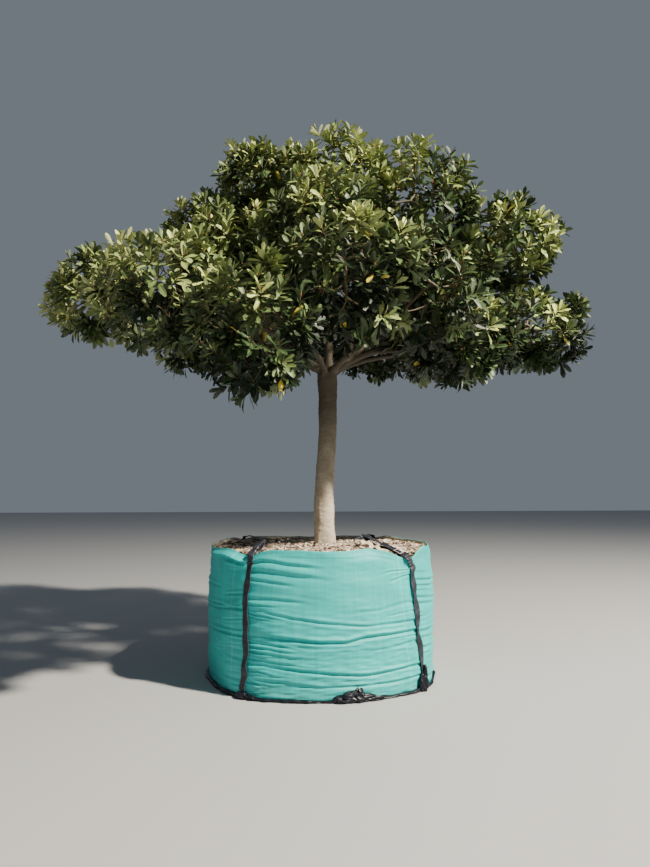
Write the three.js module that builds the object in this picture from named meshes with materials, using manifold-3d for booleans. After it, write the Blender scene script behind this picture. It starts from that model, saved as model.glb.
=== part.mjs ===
// A broad evergreen tree with leathery leaves, grown on in a bulk bag of woven fabric.
// Millimetres, +Z up. The origin is the middle of the bag's flat underside, and the bag's
// sides face along X and Y. A bearing is an angle round the bag's upright axis, in degrees
// from +X towards +Y, so the side that faces -Y has a bearing of 270.
import * as THREE from "three";
import { mergeVertices } from "three/addons/utils/BufferGeometryUtils.js";
import Module from "manifold-3d";

const wasm = await Module();
wasm.setup();

// The gap that is left where two pieces meet.
const CLEAR = 0.4;

// The bag: a square sack that its soil presses almost round, with straps sewn up its corners.
const BAG_HEIGHT = 1100;
const BAG_HALF_WIDTH = 940;
const BAG_WALL = 5;
const BAG_BULGE = 14;
const CORNER_REACH = 0.055;
const BAG_SIDES = 32;
const RIM_LIFT = 22;
const BAG_HEIGHTS = [0, 350, 750, BAG_HEIGHT];

// The root ball inside it, and the wood chips that cover the soil.
const SOIL_HEIGHT = 1035;
const CHIP_DEPTH = 42;
const CHIP_HEAP = 16;

// Straps of black webbing.
const STRAP_WIDTH = 64;
const STRAP_THICK = 7;
const STRAP_FOOT = 34;
const STRAP_REST = 1098;
const STRAP_STEPS = [0, 0.08, 0.16, 0.24, 0.32, 0.4, 0.48, 0.56, 0.64, 0.72, 0.8, 0.88, 0.95];
const BAND_HEIGHT = 30;
const BAND_SPREAD = 32;
const STRAP_COLUMNS = 4;
// Each strap's bearing, how far it reaches in over the chips, how many degrees it leans round
// the bag at its foot, at the bag's two middle heights and at the rim, and its gap to the skin.
const STRAPS = [
  { name: "strap_back_right", bearing: 45, inward: 420, lean: [-1, 1, 3, 4], gap: 1.4 },
  { name: "strap_back_left", bearing: 135, inward: 470, lean: [1.5, -1, -2, -4], gap: 1.5 },
  { name: "strap_front_left", bearing: 225, inward: 230, lean: [0.5, 3, 2.5, 5], gap: 2.1 },
  { name: "strap_front_right", bearing: 315, inward: 600, lean: [0.5, -4, -7, -8.5], gap: 3 },
];

// The trunk, from its flat foot on the soil to the fork: height, place of its middle and radius.
const TRUNK_STATIONS = [
  { height: SOIL_HEIGHT + CLEAR, x: 30, y: -55, radius: 112 },
  { height: 1085, x: 30, y: -55, radius: 98 },
  { height: 1180, x: 28, y: -55, radius: 93 },
  { height: 1420, x: 23, y: -54, radius: 91 },
  { height: 1720, x: 32, y: -56, radius: 86 },
  { height: 2080, x: 54, y: -59, radius: 81 },
  { height: 2380, x: 56, y: -60, radius: 82 },
  { height: 2560, x: 52, y: -60, radius: 93 },
  { height: 2640, x: 52, y: -60, radius: 84 },
];
const TRUNK_SIDES = 12;

// The masses of foliage: bearing and distance of the middle from the bag's axis, its height,
// and the mass's half width and half height.
const MASSES = {
  left_tip: { bearing: 184, out: 1920, height: 3230, wide: 490, high: 370 },
  left_front: { bearing: 214, out: 1560, height: 3070, wide: 610, high: 500 },
  front_left: { bearing: 245, out: 1520, height: 2690, wide: 480, high: 530 },
  front: { bearing: 269, out: 1330, height: 3140, wide: 550, high: 500 },
  front_right: { bearing: 304, out: 1260, height: 3170, wide: 610, high: 500 },
  right_low: { bearing: 335, out: 1190, height: 2870, wide: 560, high: 370 },
  right_tip: { bearing: 350, out: 1920, height: 3030, wide: 520, high: 370 },
  back_right: { bearing: 26, out: 1660, height: 3210, wide: 620, high: 500 },
  back: { bearing: 62, out: 1590, height: 3310, wide: 590, high: 490 },
  back_left: { bearing: 98, out: 1580, height: 3290, wide: 590, high: 490 },
  left_back: { bearing: 140, out: 1540, height: 3240, wide: 620, high: 500 },
  left_mid: { bearing: 199, out: 870, height: 3510, wide: 560, high: 480 },
  left_up: { bearing: 161, out: 1040, height: 3930, wide: 580, high: 400 },
  right_mid: { bearing: 357, out: 920, height: 3510, wide: 560, high: 480 },
  right_up: { bearing: 348, out: 1690, height: 3780, wide: 530, high: 430 },
  front_mid: { bearing: 269, out: 680, height: 3760, wide: 560, high: 480 },
  top_left: { bearing: 171, out: 500, height: 4480, wide: 480, high: 430 },
  top_mid: { bearing: 330, out: 240, height: 4350, wide: 600, high: 500 },
  top_right: { bearing: 345, out: 900, height: 4160, wide: 590, high: 480 },
  top_back_left: { bearing: 122, out: 1050, height: 4080, wide: 560, high: 460 },
  top_back: { bearing: 75, out: 900, height: 4260, wide: 560, high: 460 },
  top_back_right: { bearing: 33, out: 1180, height: 3950, wide: 590, high: 460 },
};

// The limbs, each with what it grows from, how far along that, the mass at its tip, its radius
// at both ends, and how far its middle lies above the straight line between them.
const LIMBS = [
  { name: "bough_left", from: "trunk", at: 0.93, mass: "left_tip", base: 40, tip: 15, bow: -60 },
  { name: "bough_right", from: "trunk", at: 0.92, mass: "right_tip", base: 38, tip: 15, bow: 30 },
  { name: "leader", from: "trunk", at: 0.95, mass: "top_mid", base: 44, tip: 17, bow: 0 },
  { name: "bough_front", from: "trunk", at: 0.91, mass: "front_right", base: 33, tip: 15, bow: -50 },
  { name: "bough_low", from: "trunk", at: 0.89, mass: "front_left", base: 28, tip: 14, bow: 90 },
  { name: "bough_back_left", from: "trunk", at: 0.92, mass: "left_back", base: 34, tip: 15, bow: -70 },
  { name: "bough_back_right", from: "trunk", at: 0.9, mass: "back_right", base: 34, tip: 15, bow: -70 },
  { name: "bough_rising", from: "trunk", at: 0.96, mass: "right_up", base: 34, tip: 14, bow: -190 },
  { name: "leader_back", from: "trunk", at: 0.96, mass: "top_back", base: 36, tip: 15, bow: -60 },
  { name: "limb_left_front", from: "bough_left", at: 0.3, mass: "left_front", base: 24, tip: 13, bow: -40 },
  { name: "limb_left_mid", from: "bough_left", at: 0.22, mass: "left_mid", base: 22, tip: 12, bow: -30 },
  { name: "limb_left_up", from: "leader", at: 0.2, mass: "left_up", base: 23, tip: 12, bow: -110 },
  { name: "limb_front", from: "bough_front", at: 0.35, mass: "front", base: 22, tip: 13, bow: -30 },
  { name: "limb_right_low", from: "bough_right", at: 0.3, mass: "right_low", base: 20, tip: 12, bow: -20 },
  { name: "limb_right_mid", from: "bough_rising", at: 0.25, mass: "right_mid", base: 22, tip: 12, bow: -20 },
  { name: "limb_front_mid", from: "leader", at: 0.24, mass: "front_mid", base: 22, tip: 12, bow: -60 },
  { name: "limb_top_left", from: "leader", at: 0.45, mass: "top_left", base: 23, tip: 13, bow: -40 },
  { name: "limb_top_right", from: "leader", at: 0.38, mass: "top_right", base: 24, tip: 13, bow: -90 },
  { name: "limb_back", from: "bough_back_right", at: 0.3, mass: "back", base: 23, tip: 13, bow: -60 },
  { name: "limb_back_left", from: "bough_back_left", at: 0.3, mass: "back_left", base: 23, tip: 13, bow: -60 },
  { name: "limb_top_back_left", from: "leader_back", at: 0.36, mass: "top_back_left", base: 22, tip: 12, bow: -80 },
  { name: "limb_top_back_right", from: "leader_back", at: 0.33, mass: "top_back_right", base: 22, tip: 12, bow: -90 },
];
const LIMB_SIDES = 6;
const LIMB_STEP = 400;
const FORK_RISE = 0.16;

// How a mass grows. Shares are of the mass's own half width and half height.
const SHOOTS = 9;
const SHOOT_SHARE = 0.74;
const CORE_SHARE = 0.56;
const CORE_ROUGH = 0.3;
const CORE_WALL = 0.9;
const TIP_SHARE = 1.05;
const ENTRY_SHARE = 0.78;
const KNEE_SHARE = 0.4;
const TWIG_RADIUS = 12;
const PIPE_POWER = 0.4;
const LEAVES_EACH = 3;
const LEAF_LENGTH = 410;
const LEAF_WIDTH = 0.56;
const LEAF_THICK = 0.034;
const LEAF_SIZES = [1, 0.88, 0.76, 0.64];
const LEAF_TURNS = [0, 14, -14];
const LEAF_SUNK = 5;
const LEAF_BELOW = 20;
const LEAF_STEP = 28;
const LEAF_FACES = 20;
const LEAF_ROUND = 0.16;
const LEAF_OPENS = { least: 60, most: 90 };
const MASS_GAP = 2;
const LIMB_ROOM = 10;
const GOLDEN_ANGLE = Math.PI * (3 - Math.sqrt(5));

const UP = new THREE.Vector3(0, 0, 1);
const toRadians = THREE.MathUtils.degToRad;

// A stream of even random numbers from 0 to 1, the same for the same seed.
function seeded(seed) {
  let state = seed >>> 0;
  return () => {
    state = (state + 0x6d2b79f5) >>> 0;
    let mixed = state;
    mixed = Math.imul(mixed ^ (mixed >>> 15), mixed | 1);
    mixed ^= mixed + Math.imul(mixed ^ (mixed >>> 7), mixed | 61);
    return ((mixed ^ (mixed >>> 14)) >>> 0) / 4294967296;
  };
}

// A closed geometry as a solid, and a solid as a geometry.
function solidOf(geometry) {
  const bare = geometry.clone();
  bare.deleteAttribute("normal");
  bare.deleteAttribute("uv");
  const merged = mergeVertices(bare, 1e-3);
  const corners = merged.index.array;
  const kept = [];
  for (let i = 0; i < corners.length; i += 3) {
    const [a, b, c] = [corners[i], corners[i + 1], corners[i + 2]];
    if (a !== b && b !== c && c !== a) kept.push(a, b, c);
  }
  const outline = {
    numProp: 3,
    vertProperties: new Float32Array(merged.attributes.position.array),
    triVerts: new Uint32Array(kept),
  };
  const solid = new wasm.Manifold(new wasm.Mesh(outline));
  if (solid.volume() > 0) return solid;
  for (let i = 0; i < kept.length; i += 3) [kept[i], kept[i + 1]] = [kept[i + 1], kept[i]];
  return new wasm.Manifold(new wasm.Mesh({ ...outline, triVerts: new Uint32Array(kept) }));
}

function geometryOf(solid) {
  const { vertProperties, triVerts } = solid.getMesh();
  const geometry = new THREE.BufferGeometry();
  geometry.setAttribute("position", new THREE.BufferAttribute(vertProperties, 3));
  geometry.setIndex(new THREE.BufferAttribute(triVerts, 1));
  geometry.computeVertexNormals();
  return geometry;
}

// The largest body of a solid, without loose scraps and with any sealed hollow filled.
function mainBody(solid) {
  const bodies = solid.decompose();
  return bodies.reduce((best, body) => (body.volume() > best.volume() ? body : best));
}

// The bag's plan: how much further out it stands at an angle than at the middle of a side.
function cornerFactor(angle) {
  return 1 + CORNER_REACH * Math.sin(2 * angle) ** 4;
}

// The bag's skin is made of flat facets: how far out it stands at an angle, next to the
// middle of a side.
const FACET_HALF = Math.PI / BAG_SIDES;
function facetFactor(angle) {
  const middle = Math.round(angle / FACET_HALF / 2) * FACET_HALF * 2;
  const [low, high] = [-1, 1].map((end) => {
    const corner = middle + end * FACET_HALF;
    return new THREE.Vector2(Math.cos(corner), Math.sin(corner)).multiplyScalar(cornerFactor(corner));
  });
  const edge = high.clone().sub(low);
  const towards = new THREE.Vector2(Math.cos(angle), Math.sin(angle));
  return low.cross(edge) / towards.cross(edge);
}

// The bag's outer radius at the middle of a side: its sides belly out a little.
function bagRadius(height) {
  return BAG_HALF_WIDTH + BAG_BULGE * Math.sin((Math.PI * height) / BAG_HEIGHT);
}

// The same where the bag's faceted skin runs straight from one of its rings to the next.
function skinRadius(height) {
  const above = BAG_HEIGHTS.findIndex((ring) => ring >= height && ring > 0);
  const [low, high] = [BAG_HEIGHTS[above - 1], BAG_HEIGHTS[above]];
  return THREE.MathUtils.lerp(bagRadius(low), bagRadius(high), (height - low) / (high - low));
}

// A profile of [radius, height] points, turned round the bag's axis and pressed to its plan.
function turnedToPlan(profile, lift = () => 0) {
  const points = profile.map(([radius, height]) => new THREE.Vector2(radius, height));
  const turned = new THREE.LatheGeometry(points, BAG_SIDES, Math.PI / BAG_SIDES);
  turned.rotateX(Math.PI / 2);
  const place = turned.attributes.position;
  for (let i = 0; i < place.count; i++) {
    const [x, y, z] = [place.getX(i), place.getY(i), place.getZ(i)];
    const angle = Math.atan2(y, x);
    const factor = cornerFactor(angle);
    place.setXYZ(i, x * factor, y * factor, z + lift(angle, Math.hypot(x, y), z));
  }
  return turned;
}


// The sack is open at the top. Its rim stands a little higher at the corners.
function makeBag() {
  const outside = BAG_HEIGHTS.map((height) => [bagRadius(height), height]);
  const inside = BAG_HEIGHTS.map((height) => [bagRadius(height) - BAG_WALL, Math.max(height, BAG_WALL)]);
  const profile = [[0, 0], ...outside, ...inside.reverse(), [0, BAG_WALL]];
  return turnedToPlan(profile, (angle, radius, height) =>
    height < BAG_HEIGHT ? 0 : RIM_LIFT * Math.sin(2 * angle) ** 4,
  );
}

function makeRootBall() {
  const bottom = BAG_WALL + CLEAR;
  const heights = [bottom, ...BAG_HEIGHTS.slice(1, -1), SOIL_HEIGHT];
  const side = heights.map((height) => [bagRadius(height) - BAG_WALL - 1, height]);
  return turnedToPlan([[0, bottom], ...side, [0, SOIL_HEIGHT]]);
}

// The chips lie in a ring round the trunk's foot, heaped towards it.
function makeChips(trunkFoot) {
  const outer = bagRadius(SOIL_HEIGHT) - BAG_WALL - 3;
  const bottom = SOIL_HEIGHT + CLEAR;
  const top = SOIL_HEIGHT + CHIP_DEPTH;
  const radii = [300, 620, outer];
  const surface = radii.map((radius) => [radius, top]);
  const draw = seeded(11);
  const humps = Array.from({ length: 6 }, () => 2 + 5 * draw());
  const profile = [[0, bottom], [outer, bottom], ...surface.reverse(), [0, top]];
  const layer = turnedToPlan(profile, (angle, radius, height) => {
    if (height < top || radius > outer - 1) return 0;
    const hump = humps.reduce((sum, size, i) => sum + size * Math.sin((i + 2) * angle + radius / 90), 0);
    return radius < 1 ? CHIP_HEAP : CHIP_HEAP * (1 - radius / outer) + hump * 0.4;
  });
  return mainBody(solidOf(layer).subtract(trunkFoot));
}

// The outer and the inner side of a strip of webbing, from its middle line of [out, up] points.
function stripSides(line) {
  return [STRAP_THICK / 2, -STRAP_THICK / 2].map((side) =>
    line.map(([x, y], i) => {
      const before = line[Math.max(i - 1, 0)];
      const after = line[Math.min(i + 1, line.length - 1)];
      const along = new THREE.Vector2(after[0] - before[0], after[1] - before[1]).normalize();
      return [x + along.y * side, y - along.x * side];
    }),
  );
}

// Where a point of a strap lies, from its place on the strap laid flat. The strap leans round
// the bag as it climbs, and follows the bag's facets as far as the rim.
function onCorner([out, height], aside, { bearing, lean }) {
  const level = Math.min(height, BAG_HEIGHT);
  const above = BAG_HEIGHTS.findIndex((ring) => ring >= level);
  const [low, high] = [BAG_HEIGHTS[above - 1], BAG_HEIGHTS[above]];
  const share = (level - low) / (high - low);
  const middle = toRadians(bearing + THREE.MathUtils.lerp(lean[above - 1], lean[above], share));
  const skin = skinRadius(level);
  const wraps = out > skinRadius(BAG_HEIGHT) - 15;
  const angle = wraps ? middle + aside / (facetFactor(middle) * skin) : middle;
  const reach = out + (facetFactor(angle) - 1) * skin;
  const beside = wraps ? 0 : aside;
  const [cos, sin] = [Math.cos(angle), Math.sin(angle)];
  return [reach * cos - beside * sin, reach * sin + beside * cos, height];
}

// A corner strap climbs its corner from just over the ground, folds over the rim, and ends
// in a lifting loop that lies in over the chips.
function makeStrap(strap) {
  const stand = STRAP_THICK / 2 + strap.gap;
  const rim = skinRadius(BAG_HEIGHT);
  const rimTop = BAG_HEIGHT + RIM_LIFT;
  const heights = STRAP_STEPS.map((share) => THREE.MathUtils.lerp(STRAP_FOOT, BAG_HEIGHT, share));
  const line = [
    ...heights.map((height) => [skinRadius(height) + stand, height]),
    [rim + stand + 0.5, rimTop - 14],
    [rim + stand, rimTop + stand],
    [rim - 30, rimTop + stand + 1],
    [rim - 0.45 * strap.inward, STRAP_REST + 4],
    [rim - 0.75 * strap.inward, STRAP_REST + 16],
    [rim - strap.inward, STRAP_REST],
  ];
  const [outer, inner] = stripSides(line);
  const columns = Array.from({ length: STRAP_COLUMNS + 1 }, (_, c) => STRAP_WIDTH * (c / STRAP_COLUMNS - 0.5));
  const places = line.flatMap((_, i) => [
    ...columns.flatMap((aside) => onCorner(outer[i], aside, strap)),
    ...columns.toReversed().flatMap((aside) => onCorner(inner[i], aside, strap)),
  ]);
  const around = 2 * columns.length;
  const last = (line.length - 1) * around;
  const faces = [];
  for (let start = 0; start < last; start += around) {
    for (let k = 0; k < around; k++) {
      const [a, b] = [start + k, start + ((k + 1) % around)];
      faces.push(a, b, b + around, a, b + around, a + around);
    }
  }
  for (let c = 0; c < STRAP_COLUMNS; c++) {
    const [a, b, under, beneath] = [c, c + 1, around - 2 - c, around - 1 - c];
    faces.push(a, under, b, a, beneath, under);
    faces.push(last + a, last + b, last + under, last + a, last + under, last + beneath);
  }
  const geometry = new THREE.BufferGeometry();
  geometry.setAttribute("position", new THREE.Float32BufferAttribute(places, 3));
  return geometryOf(solidOf(geometry.setIndex(faces)));
}

// The band lies on the ground round the bag's foot.
function makeFootBand() {
  const foot = skinRadius(0) + CLEAR + 0.2;
  const top = skinRadius(BAND_HEIGHT) + CLEAR + 0.2;
  return turnedToPlan([
    [foot, 0],
    [foot + BAND_SPREAD, 0],
    [foot + BAND_SPREAD, BAND_HEIGHT / 3],
    [top, BAND_HEIGHT],
    [foot, 0],
  ]);
}

// A tapering tube along a curve, run on past both ends by a margin. Level rings stay flat, as
// at the trunk's cut foot.
function tube(curve, radiusAt, sides, steps, level, margin) {
  const frames = curve.computeFrenetFrames(steps, false);
  const places = [];
  for (let i = 0; i <= steps; i++) {
    const centre = curve.getPointAt(i / steps);
    const runOn = i === 0 ? -margin : i === steps ? margin : 0;
    centre.addScaledVector(curve.getTangentAt(i / steps), runOn);
    const across = level ? new THREE.Vector3(1, 0, 0) : frames.normals[i];
    const aside = level ? new THREE.Vector3(0, 1, 0) : frames.binormals[i];
    const radius = radiusAt(i / steps);
    for (let k = 0; k < sides; k++) {
      const turn = (2 * Math.PI * k) / sides;
      const point = centre.clone();
      point.addScaledVector(across, radius * Math.cos(turn));
      point.addScaledVector(aside, radius * Math.sin(turn));
      places.push(point.x, point.y, point.z);
    }
  }
  const faces = [];
  for (let i = 0; i < steps; i++) {
    for (let k = 0; k < sides; k++) {
      const [a, b] = [i * sides + k, i * sides + ((k + 1) % sides)];
      faces.push(a, b, b + sides, a, b + sides, a + sides);
    }
  }
  const last = steps * sides;
  for (let k = 1; k < sides - 1; k++) {
    faces.push(0, k + 1, k, last, last + k, last + k + 1);
  }
  const geometry = new THREE.BufferGeometry();
  geometry.setAttribute("position", new THREE.Float32BufferAttribute(places, 3));
  return geometry.setIndex(faces);
}

// The trunk's middle line and its radius, which runs straight from each station to the next.
class TrunkLine extends THREE.Curve {
  getPoint(share, target = new THREE.Vector3()) {
    const { x, y, height } = this.station(share);
    return target.set(x, y, height);
  }

  getPointAt(share, target) {
    return this.getPoint(share, target);
  }

  station(share) {
    const place = share * (TRUNK_STATIONS.length - 1);
    const below = TRUNK_STATIONS[Math.min(Math.floor(place), TRUNK_STATIONS.length - 2)];
    const above = TRUNK_STATIONS[TRUNK_STATIONS.indexOf(below) + 1];
    const mix = place - TRUNK_STATIONS.indexOf(below);
    const between = (key) => THREE.MathUtils.lerp(below[key], above[key], mix);
    return { x: between("x"), y: between("y"), height: between("height"), radius: between("radius") };
  }
}

function middleOf({ bearing, out, height }) {
  const angle = toRadians(bearing);
  return new THREE.Vector3(out * Math.cos(angle), out * Math.sin(angle), height);
}

// How far a mass reaches from its middle in a direction.
function reachOf(mass, direction) {
  const { x, y, z } = direction;
  return 1 / Math.hypot(x / mass.wide, y / mass.wide, z / mass.high);
}

// Where a limb enters its mass, coming from a point.
function entryOf(mass, from) {
  const middle = middleOf(mass);
  const back = from.clone().sub(middle).normalize();
  return middle.addScaledVector(back, reachOf(mass, back) * ENTRY_SHARE);
}

// The trunk and the limbs, each with its line, its radius along it and, once cut, its solid.
function makeLimbs() {
  const line = new TrunkLine();
  const trunk = {
    name: "trunk",
    line,
    radiusAt: (share) => line.station(share).radius,
    sides: TRUNK_SIDES,
    steps: TRUNK_STATIONS.length - 1,
  };
  const made = { trunk };
  for (const { name, from, at, mass, base, tip, bow } of LIMBS) {
    const parent = made[from];
    const start = parent.line.getPointAt(at);
    const end = entryOf(MASSES[mass], start.clone().addScaledVector(UP, 2 * bow));
    const span = start.distanceTo(end);
    const into = middleOf(MASSES[mass]).sub(end).normalize();
    const leaving = parent.line.getTangentAt(at).multiplyScalar(span * FORK_RISE);
    const third = end.clone().sub(start).multiplyScalar(1 / 3);
    const first = start.clone().add(third).add(leaving).addScaledVector(UP, bow);
    const second = end.clone().addScaledVector(into, -span / 3);
    made[name] = {
      name,
      mass,
      line: new THREE.CubicBezierCurve3(start, first, second, end),
      radiusAt: (share) => THREE.MathUtils.lerp(base, tip, share ** 0.8),
      sides: LIMB_SIDES,
      steps: Math.max(3, Math.round(span / LIMB_STEP)),
    };
  }
  return Object.values(made);
}

// A limb's solid, made thicker all round by a margin.
function limbSolid({ name, line, radiusAt, sides, steps }, margin = 0) {
  const spare = margin / Math.cos(Math.PI / sides);
  return solidOf(tube(line, (share) => radiusAt(share) + spare, sides, steps, name === "trunk", margin));
}

// Each limb is cut clear of the trunk and of the limbs before it.
function cutLimbs(limbs) {
  const thicker = [];
  for (const limb of limbs) {
    let solid = limbSolid(limb);
    for (const other of thicker) solid = solid.subtract(other);
    limb.solid = mainBody(solid);
    thicker.push(limbSolid(limb, CLEAR));
  }
}

// The planes between a mass and its neighbours: each side of one belongs to one mass alone.
function wallsOf(mass) {
  const middle = middleOf(mass);
  return Object.values(MASSES)
    .filter((other) => other !== mass)
    .map((other) => {
      const towards = middleOf(other).sub(middle);
      const apart = towards.length();
      towards.normalize();
      const [own, theirs] = [reachOf(mass, towards), reachOf(other, towards)];
      return { towards, limit: (apart * own) / (own + theirs) - MASS_GAP };
    })
    .filter(({ limit }) => limit < Math.max(mass.wide, mass.high));
}

// A test of whether a point lies in a mass's own space and clear of every limb.
function spaceOf(mass, limbs) {
  const middle = middleOf(mass);
  const walls = wallsOf(mass);
  const inWay = [];
  for (const limb of limbs) {
    const count = Math.ceil(limb.line.getLength() / 25);
    for (let i = 0; i <= count; i++) {
      const point = limb.line.getPointAt(i / count);
      const room = limb.radiusAt(i / count) + LIMB_ROOM;
      if (point.distanceTo(middle) < mass.wide + room) inWay.push({ point, room });
    }
  }
  return {
    middle,
    holds(point) {
      const offset = point.clone().sub(middle);
      const share = Math.hypot(offset.x / mass.wide, offset.y / mass.wide, offset.z / mass.high);
      if (share > TIP_SHARE) return false;
      if (walls.some(({ towards, limit }) => offset.dot(towards) > limit)) return false;
      return inWay.every((near) => near.point.distanceTo(point) > near.room);
    },
  };
}

// The directions along and across a twig.
function twigFrame({ start, end }) {
  const along = end.clone().sub(start).normalize();
  const upright = Math.abs(along.z) < 0.9 ? UP : new THREE.Vector3(1, 0, 0);
  const side = new THREE.Vector3().crossVectors(along, upright).normalize();
  return { along, side, aside: new THREE.Vector3().crossVectors(along, side) };
}

// A three-sided twig between two points, run on a little past its start so that it fuses.
// Its roll turns one of its sides to face that angle.
function twigGeometry(start, end, base, tip, roll = 0, sunk = base) {
  const { along, side, aside } = twigFrame({ start, end });
  const length = start.distanceTo(end) + sunk;
  const twig = new THREE.CylinderGeometry(tip, base, length, 3, 1, false, roll - Math.PI / 3);
  const middle = end.clone().addScaledVector(along, -length / 2);
  return twig.applyMatrix4(new THREE.Matrix4().makeBasis(aside, along, side).setPosition(middle));
}

// A leaf of eight faces: a flat octahedron, widest past its middle, with its foot at the origin.
function leafGeometry(foot, along, face, length) {
  const leaf = new THREE.OctahedronGeometry(length / 2, 0);
  const place = leaf.attributes.position;
  for (let i = 0; i < place.count; i++) {
    const middle = Math.abs(place.getX(i)) < 1;
    const x = middle ? (LEAF_ROUND * length) / 2 : place.getX(i);
    place.setXYZ(i, x + length / 2, place.getY(i) * LEAF_WIDTH, place.getZ(i) * LEAF_THICK);
  }
  const aside = new THREE.Vector3().crossVectors(face, along).normalize();
  const outward = new THREE.Vector3().crossVectors(along, aside);
  const turn = new THREE.Matrix4().makeBasis(along, aside, outward).setPosition(foot);
  return leaf.applyMatrix4(turn);
}

// The three lines of points down a geometry's longest way, enough to tell whether it is clear.
function cornersOf(geometry) {
  const place = geometry.attributes.position;
  const found = [];
  for (let i = 0; i < place.count; i++) found.push(new THREE.Vector3().fromBufferAttribute(place, i));
  return found;
}

function clearOf(space, geometry, from, to) {
  const corners = cornersOf(geometry);
  const centre = from.clone().add(to).multiplyScalar(0.5);
  const shares = [0.15, 0.3, 0.45, 0.6, 0.75, 0.9, 1];
  return corners.every((corner) =>
    shares.every((share) => space.holds(centre.clone().lerp(corner, share))),
  );
}

// Shoot tips spread evenly over a mass, each drawn in until it stands in the mass's own space.
function shootTips(mass, space, draw, count) {
  const tips = [];
  const first = draw() * 2 * Math.PI;
  for (let k = 0; k < count; k++) {
    const up = 1 - (2 * (k + 0.5)) / count;
    const turn = first + k * GOLDEN_ANGLE;
    const flat = Math.sqrt(1 - up * up);
    const share = SHOOT_SHARE * (0.9 + 0.2 * draw());
    const offset = new THREE.Vector3(flat * Math.cos(turn), flat * Math.sin(turn), up);
    offset.multiply(new THREE.Vector3(mass.wide, mass.wide, mass.high)).multiplyScalar(share);
    for (let tries = 0; tries < 5; tries++) {
      const tip = space.middle.clone().add(offset);
      if (space.holds(tip)) {
        tips.push(tip);
        break;
      }
      offset.multiplyScalar(0.85);
    }
  }
  return tips;
}

// Splits tips into two groups, across the way in which they spread furthest.
function halves(tips) {
  const [one] = tips;
  const far = tips.reduce((best, tip) => (tip.distanceTo(one) > best.distanceTo(one) ? tip : best));
  const across = far.clone().sub(one);
  const sorted = [...tips].sort((a, b) => a.dot(across) - b.dot(across));
  const half = Math.ceil(sorted.length / 2);
  return [sorted.slice(0, half), sorted.slice(half)];
}

// The twigs of a mass: from one stem, each goes part of the way to its tips and then divides.
function branch(start, tips, twigs, draw) {
  if (tips.length === 1) {
    twigs.push({ start, end: tips[0], bears: 1, last: true, roll: draw() * 2 * Math.PI });
    return;
  }
  const centre = tips.reduce((sum, tip) => sum.add(tip), new THREE.Vector3()).divideScalar(tips.length);
  const knee = start.clone().lerp(centre, KNEE_SHARE);
  twigs.push({ start, end: knee, bears: tips.length, last: false, roll: 0 });
  for (const group of halves(tips)) branch(knee, group, twigs, draw);
}

// The ways in which one leaf of a shoot may stand, the first choice first. Each leaf grows from
// a side of the twig of its own, and the lower leaves open wider.
function leafWays(twig, k) {
  const { along, side, aside } = twigFrame(twig);
  const angle = twig.roll + (k * 2 * Math.PI) / 3;
  const outward = aside.multiplyScalar(Math.sin(angle)).addScaledVector(side, Math.cos(angle));
  const foot = twig.end.clone().addScaledVector(outward, -LEAF_SUNK);
  foot.addScaledVector(along, -LEAF_BELOW - LEAF_STEP * (LEAVES_EACH - 1 - k));
  const widest = THREE.MathUtils.lerp(LEAF_OPENS.most, LEAF_OPENS.least, k / (LEAVES_EACH - 1));
  return LEAF_SIZES.flatMap((size) =>
    LEAF_TURNS.map((turn) => {
      const opens = toRadians(widest + turn);
      const way = along.clone().multiplyScalar(Math.cos(opens)).addScaledVector(outward, Math.sin(opens));
      const face = along.clone().multiplyScalar(Math.sin(opens)).addScaledVector(outward, -Math.cos(opens));
      return { foot, way, face, length: LEAF_LENGTH * size };
    }),
  );
}

// The dense inner foliage of a mass: a rough ball, cut back from the walls of its space.
function coreSolid(mass, middle, draw) {
  const ball = new THREE.SphereGeometry(1, 7, 5).deleteAttribute("uv").deleteAttribute("normal");
  const core = mergeVertices(ball.rotateX(Math.PI / 2), 1e-3);
  const place = core.attributes.position;
  for (let i = 0; i < place.count; i++) {
    const share = CORE_SHARE * (1 + CORE_ROUGH * (draw() - 0.5));
    const [wide, high] = [mass.wide * share, mass.high * share];
    place.setXYZ(i, place.getX(i) * wide, place.getY(i) * wide, place.getZ(i) * high);
  }
  let solid = solidOf(core.translate(middle.x, middle.y, middle.z));
  for (const { towards, limit } of wallsOf(mass)) {
    const away = towards.clone().negate();
    const offset = middle.dot(away) - limit * CORE_WALL;
    if (limit < mass.wide) solid = solid.trimByPlane(away.toArray(), offset);
  }
  return solid;
}

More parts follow.
